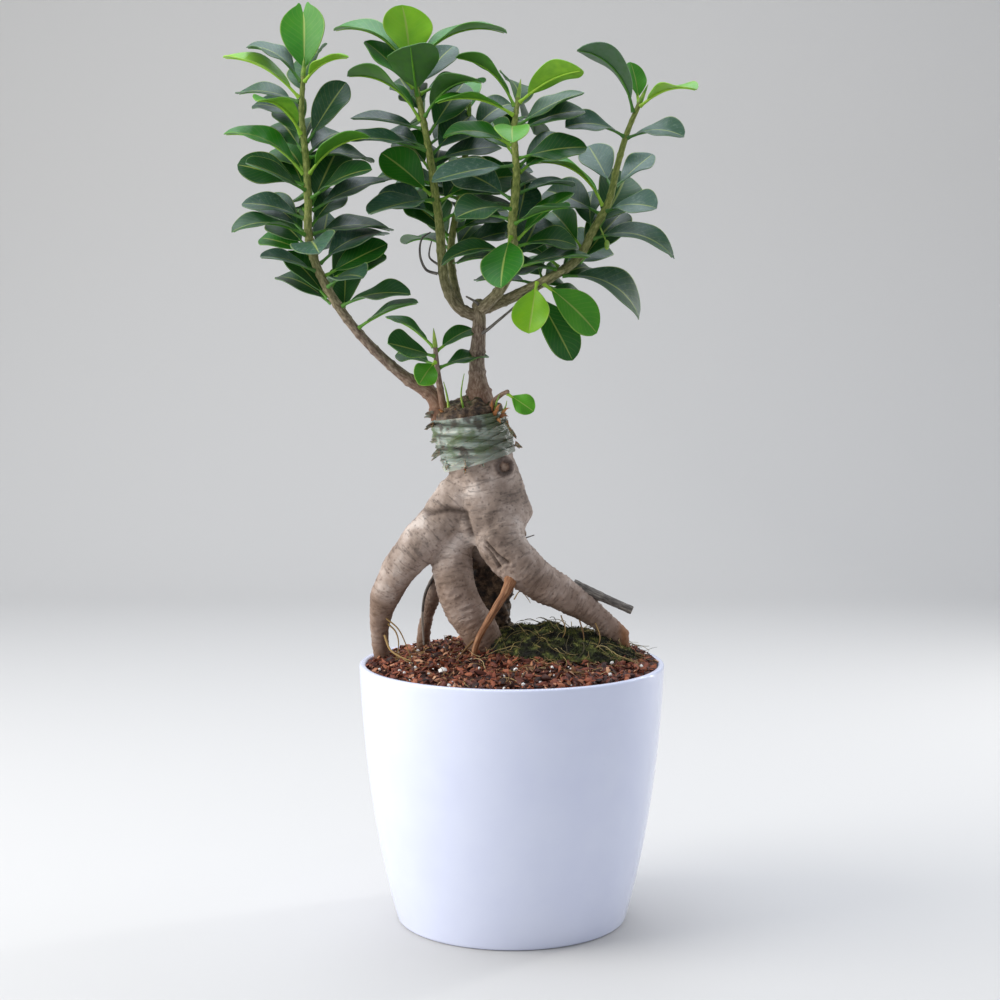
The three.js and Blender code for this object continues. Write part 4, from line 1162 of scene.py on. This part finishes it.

# ---------------------------------------------------------------- leaves
# Fig leaves: thick, leathery and waxed, on a short green stalk, folded up a little along a
# pale midrib. Young ones are yellow green, then deep green, and the oldest are grey: partly
# dust, partly a painted grey sheen.

# Each leaf: how far along its stem it grows, the way it heads seen from above in degrees
# (0 to +X, 270 to the viewer), its rise where it leaves the stem, its length, how far it
# arches down by its tip, how far it rolls about its length, its width by its length, and
# its age from 0, just opened, to 1, old and grey, partly dust and partly painted sheen.
LEAVES = {
    "shoot_left": [
        (.99, 75, 88, 36, 10, 0, .66, .38), (.98, 180, 65, 34, 70, -20, .5, .9),
        (.94, 190, 55, 43, 60, -30, .42, .08), (.85, 230, 65, 33, 80, 0, .55, .3),
        (.83, 25, 60, 37, 20, 40, .45, .85), (.75, 190, 60, 45, 70, -25, .48, .45),
        (.75, 325, 55, 37, 60, 20, .55, .42), (.71, 225, 25, 33, 20, -40, .6, .85),
        (.69, 330, 35, 35, 30, 30, .55, .8), (.66, 15, 35, 41, 30, 30, .45, .9),
        (.60, 215, 30, 38, 60, -20, .5, .8), (.60, 20, 20, 43, 40, 30, .5, .85),
        (.57, 275, 15, 33, 50, 15, .66, .95), (.51, 220, 25, 29, 30, -35, .58, 1.0),
        (.38, 88, 65, 30, 20, 0, .55, .75), (.33, 335, 35, 33, 30, 20, .5, .7)],
    "shoot_centre_left": [
        (.99, 110, 86, 30, 10, 0, .8, .05), (.99, 180, 65, 45, 80, -20, .5, .45),
        (.98, 0, 60, 53, 80, 20, .42, .5), (.88, 262, 50, 31, 20, 0, .8, .72),
        (.80, 320, 60, 41, 80, 0, .5, .75), (.79, 190, 70, 45, 80, -20, .5, .5),
        (.68, 205, 20, 39, 30, -15, .5, .9), (.50, 225, -5, 38, 20, -25, .62, .92)],
    "shoot_back": [
        (.98, 100, 60, 34, 40, 0, .55, .4), (.80, 60, 40, 38, 50, 0, .5, .6),
        (.50, 75, 35, 38, 50, 0, .5, .8), (.34, 130, 30, 36, 50, 0, .5, .85)],
    "shoot_centre_right": [
        (.97, 330, 40, 37, 40, -20, .5, .2), (.91, 205, 35, 39, 60, -15, .42, .4),
        (.69, 25, 50, 37, 60, 20, .5, .85), (.69, 195, -5, 39, 20, -35, .6, 1.0),
        (.44, 315, 25, 32, 30, 20, .5, .75), (.38, 256, -32, 37, 20, 0, .58, .55)],
    "shoot_right": [
        (.98, 320, 40, 33, 60, 0, .5, .15), (.95, 205, 85, 46, 90, 0, .4, .88),
        (.68, 40, 38, 31, 10, 15, .45, .95), (.60, 170, 75, 45, 90, 0, .35, .35),
        (.57, 150, 30, 36, 30, -40, .62, .85), (.48, 340, 22, 43, 80, 35, .55, .9),
        (.31, 0, 8, 49, 80, 35, .48, .88)],
    "twig_low": [
        (.62, 250, -65, 26, 10, 0, .72, .06), (.67, 355, -35, 35, 20, 60, .58, .3)],
    "sucker_front": [
        (.97, 155, 50, 29, 40, 0, .35, .55), (.86, 220, 15, 26, 10, -40, .74, .7)],
    "sucker_right": [
        (.95, 340, -30, 15, 20, 65, .68, .25)],
}
# more leaves on the same stems, too many to be pieces of their own
MORE_LEAVES = {
    "shoot_left": [
        (1.0, 40, 60, 32, 30, 40, .5, .95), (.98, 320, 50, 27, 60, 20, .5, .12),
        (.93, 165, 25, 36, 40, -30, .5, .9), (.89, 150, 30, 30, 30, -30, .5, .95),
        (.80, 165, 35, 34, 40, -30, .5, .9), (.80, 60, 35, 36, 30, 20, .5, .9),
        (.46, 300, 25, 32, 40, 20, .6, .9), (.40, 330, 25, 36, 40, 30, .5, .8)],
    "shoot_centre_left": [
        (.91, 45, 50, 34, 20, 40, .45, .95), (.88, 165, 35, 36, 30, -40, .45, .7),
        (.76, 165, 20, 36, 20, -20, .45, .9), (.70, 60, 30, 36, 30, 20, .5, .8),
        (.56, 150, 20, 34, 30, -30, .5, .8), (.49, 135, 15, 30, 20, -30, .55, .3)],
    "shoot_back": [
        (.93, 20, 35, 34, 30, 20, .5, .7), (.88, 160, 30, 34, 40, -20, .5, .85),
        (.66, 0, 25, 34, 30, 20, .5, .9), (.62, 180, 25, 32, 40, -30, .5, .8)],
    "shoot_centre_right": [
        (.95, 180, 75, 38, 70, 0, .4, .6), (.85, 265, 5, 28, 50, 0, .6, .22),
        (.80, 140, 30, 34, 30, -30, .5, .85), (.72, 305, 50, 34, 40, 20, .6, .8),
        (.60, 60, 25, 34, 40, 20, .5, .85), (.50, 225, 5, 34, 30, -30, .55, .8),
        (.32, 222, -2, 34, 30, -35, .6, .6), (.28, 150, 10, 32, 30, -30, .5, .7)],
    "shoot_right": [
        (.99, 120, 80, 20, 10, 0, .62, .35), (1.0, 20, 70, 24, 10, 20, .6, .25),
        (.86, 215, 28, 32, 50, -30, .55, .95), (.86, 320, 22, 31, 50, 25, .6, 1.0),
        (.68, 120, 50, 32, 20, -20, .55, .97), (.58, 230, 15, 30, 40, -30, .6, .95),
        (.59, 310, 18, 30, 40, 30, .6, 1.0), (.44, 200, 30, 32, 40, -35, .6, .88),
        (.40, 150, 20, 32, 30, -30, .55, .9), (.30, 205, 10, 32, 40, -30, .6, .85),
        (.24, 25, -12, 34, 40, 30, .62, .7), (.20, 160, 15, 32, 30, -20, .55, .9)],
    "twig_low": [(.49, 355, -58, 40, 20, 55, .48, .62)],
    "sucker_front": [(.92, 40, 35, 24, 20, 20, .5, .6), (.70, 20, 25, 26, 30, 25, .5, .75),
                     (.78, 245, -25, 18, 20, -40, .7, .28), (.74, 150, 25, 24, 30, -30, .5, .7)],
}

# Leaf upper side: waxed cuticle, so a broad soft shine of the sky; pale midrib, faint side
# veins about 3 mm apart, a thin pale margin, and on the old ones dust and water marks that
# are partly a painted grey sheen.
leaf_top, tree = new_finish("waxed_leaf")
place = add(tree, "TexCoord").outputs["Object"]
spread = add(tree, "UVMap", uv_map="blade").outputs["UV"]
age = add(tree, "Attribute", attribute_name="age").outputs["Fac"]
split = add(tree, "SeparateXYZ", {"Vector": spread})
off = add(tree, "Math", {0: split.outputs["X"], 1: 0.5}, operation="SUBTRACT")
side = add(tree, "Math", {0: off}, operation="ABSOLUTE").outputs["Value"]
patchy = add(tree, "TexNoise", {"Vector": place, "Scale": 1 / (11 * MM), "Detail": 4.0})
drift = add(tree, "Math", {0: patchy, 1: 0.24, 2: -0.12}, operation="MULTIPLY_ADD")
shade_at = add(tree, "Math", {0: age, 1: drift}, operation="ADD")
# the grey green at the old end is partly a painted grey sheen
blade_shade = colour_bands(add(tree, "ValToRGB", {"Fac": shade_at}), [(0.0, "#8cc01c"),
    (0.2, "#539a12"), (0.42, "#2f7d14"), (0.65, "#1b5813"), (0.85, "#1c4721"), (1.0, "#3c604e")])
VEIN_PAIRS = 11
slant = add(tree, "Math", {0: side, 1: -0.55, 2: split.outputs["Y"]}, operation="MULTIPLY_ADD")
beat = add(tree, "Math", {0: slant, 1: VEIN_PAIRS * 2 * math.pi}, operation="MULTIPLY")
wave = add(tree, "Math", {0: beat}, operation="SINE")
veins = add(tree, "MapRange", {"Value": wave, "From Min": 0.86, "From Max": 1.0})
rib = add(tree, "MapRange", {"Value": side, "From Min": 0.012, "From Max": 0.035, "To Min": 1.0,
    "To Max": 0.0})
rim = add(tree, "MapRange", {"Value": side, "From Min": 0.475, "From Max": 0.495})
faint = add(tree, "Math", {0: veins, 1: 0.1}, operation="MULTIPLY")
strong = add(tree, "Math", {0: rib, 1: rim}, operation="MAXIMUM")
pale = add(tree, "Math", {0: strong, 1: 0.6}, operation="MULTIPLY")
lines = add(tree, "Math", {0: pale, 1: faint}, operation="MAXIMUM")
veined = add(tree, "Mix", {"Factor": lines, "A": blade_shade, "B": linear("#a9b65c")},
    data_type="RGBA")
# pale spots on the oldest leaves: partly dust, partly painted sheen
marks = add(tree, "TexNoise", {"Vector": place, "Scale": 1 / (2.4 * MM), "Detail": 6.0,
    "Roughness": 0.7})
spots = add(tree, "MapRange", {"Value": marks, "From Min": 0.52, "From Max": 0.7, "To Max": 0.5})
aged = add(tree, "MapRange", {"Value": age, "From Min": 0.8, "From Max": 1.0})
dust_and_sheen = add(tree, "Math", {0: spots, 1: aged}, operation="MULTIPLY")
dust_and_sheen_colour = add(tree, "Mix", {"Factor": dust_and_sheen, "A": veined, "B": linear("#8d9f92")}, data_type="RGBA")
wax = add(tree, "MapRange", {"Value": marks, "From Min": 0.3, "From Max": 0.7, "To Min": 0.34,
    "To Max": 0.5})
relief = add(tree, "Math", {0: lines, 1: -0.8, 2: patchy}, operation="MULTIPLY_ADD")
quilted = add(tree, "Bump", {"Height": relief, "Strength": 0.35, "Distance": 0.5 * MM})
fill(tree, tree.nodes["Principled BSDF"], {"Base Color": dust_and_sheen_colour, "Roughness": wax, "Normal": quilted,
    "IOR": 1.48, "Specular IOR Level": 0.38, "Subsurface Weight": 0.25,
    "Subsurface Radius": (0.4, 1.0, 0.15), "Subsurface Scale": 1.2 * MM})

# Leaf underside and stalk: paler, yellower and matt, with the midrib raised on it.
leaf_under, tree = new_finish("matt_leaf_underside")
place = add(tree, "TexCoord").outputs["Object"]
age = add(tree, "Attribute", attribute_name="age").outputs["Fac"]
patchy = add(tree, "TexNoise", {"Vector": place, "Scale": 1 / (4 * MM), "Detail": 3.0})
drift = add(tree, "Math", {0: patchy, 1: 0.3, 2: -0.15}, operation="MULTIPLY_ADD")
shade_at = add(tree, "Math", {0: age, 1: drift}, operation="ADD")
under_shade = colour_bands(add(tree, "ValToRGB", {"Fac": shade_at}), [(0.0, "#9cc636"),
    (0.4, "#4f8a1f"), (0.75, "#41692f"), (1.0, "#64786a")])
fill(tree, tree.nodes["Principled BSDF"], {"Base Color": under_shade, "Roughness": 0.55,
    "Subsurface Weight": 0.25, "Subsurface Radius": (0.4, 1.0, 0.15), "Subsurface Scale": 1.2 * MM})

STALK_SHARE, STALK_RADIUS, STEM_GAP = 0.13, 0.8, 0.6
FOLD, BLADE_THICK, BLADE_CELLS = 0.25, 0.42, (12, 24)
# leaves whose tip is notched, by the order they are made in, and how deep the notch is
NOTCHES = {1: 0.15}


def leaf_frame(stem, row):
    """Where a leaf's spine runs: a function from its share to place, side, top and ahead."""
    along, heading, rise, length, arch, roll = row[:6]
    points, radii = STEMS[stem]
    route = stem_routes[stem]
    turn, climb, bend = (math.radians(angle) for angle in (heading, rise, max(arch, 1)))
    flat, up = Vector((math.cos(turn), math.sin(turn), 0)), Vector((0, 0, 1))
    ahead = flat * math.cos(climb) + up * math.sin(climb)
    top = up * math.cos(climb) - flat * math.sin(climb)
    top.rotate(Matrix.Rotation(math.radians(roll), 3, ahead))
    side = top.cross(ahead)
    tangent = route.heading(along)
    out = (flat - tangent * flat.dot(tangent)).normalized()
    start = route.at(along) + out * (radius_along(radii, along) + STEM_GAP)

    def spine(share):
        swing = bend * share
        reach, sag = length / bend * math.sin(swing), length / bend * (1 - math.cos(swing))
        place = start + ahead * reach - top * sag
        normal = top * math.cos(swing) + ahead * math.sin(swing)
        return place, side, normal
    return spine, out, length


def stalk_radius(share):
    """The stalk tapers into the midrib and swells a little where it leaves the stem."""
    return STALK_RADIUS * (1 - 0.72 * share) * (1 + 0.5 * max(0, 0.06 - share) / 0.06)


def leaf_shape(stem, row, seed):
    """One leaf: a folded, slightly wavy blade with a stalk that runs on as its midrib."""
    spine, out, length = leaf_frame(stem, row)
    width, age_value = row[6], row[7]
    notch = NOTCHES.get(seed, 0)
    chance = random.Random(seed)
    wave_size, wave_phase = chance.uniform(0.4, 1.4), chance.uniform(0, 6.28)
    lean, twist = chance.uniform(-0.08, 0.08), math.radians(chance.uniform(-20, 20))
    blade = bmesh.new()
    ages = blade.verts.layers.float.new("age")
    blade.loops.layers.uv.new("blade")
    bmesh.ops.create_grid(blade, x_segments=BLADE_CELLS[0], y_segments=BLADE_CELLS[1], size=1,
        calc_uvs=True)
    for vert in blade.verts:
        across, reach = vert.co.x, vert.co.y / 2 + 0.5
        dip = notch * math.exp(-(across / 0.4) ** 2) * max(0, reach - 0.7) / 0.3
        share = STALK_SHARE + (1 - STALK_SHARE) * (reach - dip)
        wide_at = min(reach, 0.975) if notch else reach
        half = 0
        if 0 < wide_at < 1:
            half = 0.5 * math.sin(math.pi * wide_at ** 1.32) ** 0.64 * width * length
        place, side, normal = spine(share)
        tilt = across * half * math.sin(twist * reach)
        ripple = wave_size * abs(across) ** 2 * math.sin(9 * reach + wave_phase + 1.3 * across)
        lift = abs(across) ** 1.2 * half * FOLD + tilt + ripple * math.sin(math.pi * reach)
        sway = lean * length * reach * reach
        vert.co = (place + side * (across * half + sway) + normal * lift) * MM
        vert[ages] = age_value
    bmesh.ops.remove_doubles(blade, verts=blade.verts, dist=0.02 * MM)
    grown = bmesh.ops.solidify(blade, geom=blade.faces, thickness=BLADE_THICK * MM)["geom"]
    for face in blade.faces:
        face.material_index = 1
    for item in grown:
        if isinstance(item, bmesh.types.BMFace):
            item.material_index = 0
    points = []
    for step in range(11):
        share = (0.97 - notch) * step / 10
        place, side, normal = spine(share)
        reach = max(0, (share - STALK_SHARE) / (1 - STALK_SHARE))
        below = BLADE_THICK * 0.7 * min(1, reach * 6)
        points.append(place + side * lean * length * reach * reach - normal * below)
    points[0] -= out * STEM_GAP
    stalk = limb(Route(points), stalk_radius, sides=8, steps=16)
    stalk.verts.layers.float_vector.remove(stalk.verts.layers.float_vector["grain"])
    ages = stalk.verts.layers.float.new("age")
    for vert in stalk.verts:
        vert[ages] = max(0, age_value - 0.35)
    for face in stalk.faces:
        face.material_index = 1
    return gather([blade, stalk])


number = 0
leaf_trees = []


def clear_of_leaves(shape):
    """Whether a new leaf touches none that is in place; one that is clear is remembered."""
    hull = BVHTree.FromBMesh(shape)
    middle = sum((vert.co for vert in shape.verts), Vector()) / len(shape.verts)
    for other, centre in leaf_trees:
        if (centre - middle).length < 60 * MM and other.overlap(hull):
            return False
    leaf_trees.append((hull, middle))
    return True


for stem, rows in LEAVES.items():
    for place_in_row, row in enumerate(rows, 1):
        number += 1
        label = f"leaf_{stem}_{place_in_row:02d}"
        shape = leaf_shape(stem, row, number)
        clear_of_leaves(shape)
        leaf = make_piece(label + "_blade", shape, leaf_top, leaf_under)
        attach(leaf, "root")
        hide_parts(label)

# The rest of the crown: the leaves listed above, then more by the tree's own rule, each
# turned about the stem from the last, old and dark, and kept only where they touch nothing.
FILL_STEP, FILL_TURN, FILL_TRIES = 3.2, 137.5, 6
# each stem, and the first and last share of it that the rule fills; none on the thin twigs
FILL_REACH = [
    ("shoot_left", 0.42, 0.97), ("shoot_centre_left", 0.42, 0.97), ("shoot_back", 0.3, 0.97),
    ("shoot_centre_right", 0.25, 0.97), ("shoot_right", 0.22, 0.62), ("twig_low", 1, 1),
    ("sucker_front", 1, 1),
]
for stem, first, last in FILL_REACH:
    chance = random.Random(len(stem))
    kept = []
    for row in MORE_LEAVES[stem]:
        number += 1
        shape = leaf_shape(stem, row, number)
        if clear_of_leaves(shape):
            kept.append(shape)
    length = stem_routes[stem].length
    for step in range(int(length * (last - first) / FILL_STEP)):
        for attempt in range(FILL_TRIES):
            heading = (step * FILL_TURN + attempt * 61) % 200 - 10
            row = (first + step * FILL_STEP / length, heading, chance.uniform(15, 60),
                   chance.uniform(28, 40), chance.uniform(20, 70),
                   chance.uniform(20, 60) * (1 if heading < 90 else -1),
                   chance.uniform(0.48, 0.62), chance.uniform(0.5, 0.97))
            number += 1
            shape = leaf_shape(stem, row, number)
            if clear_of_leaves(shape):
                kept.append(shape)
                break
    more = make_piece("more_leaves_" + stem, gather(kept), leaf_top, leaf_under)
    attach(more, "root")
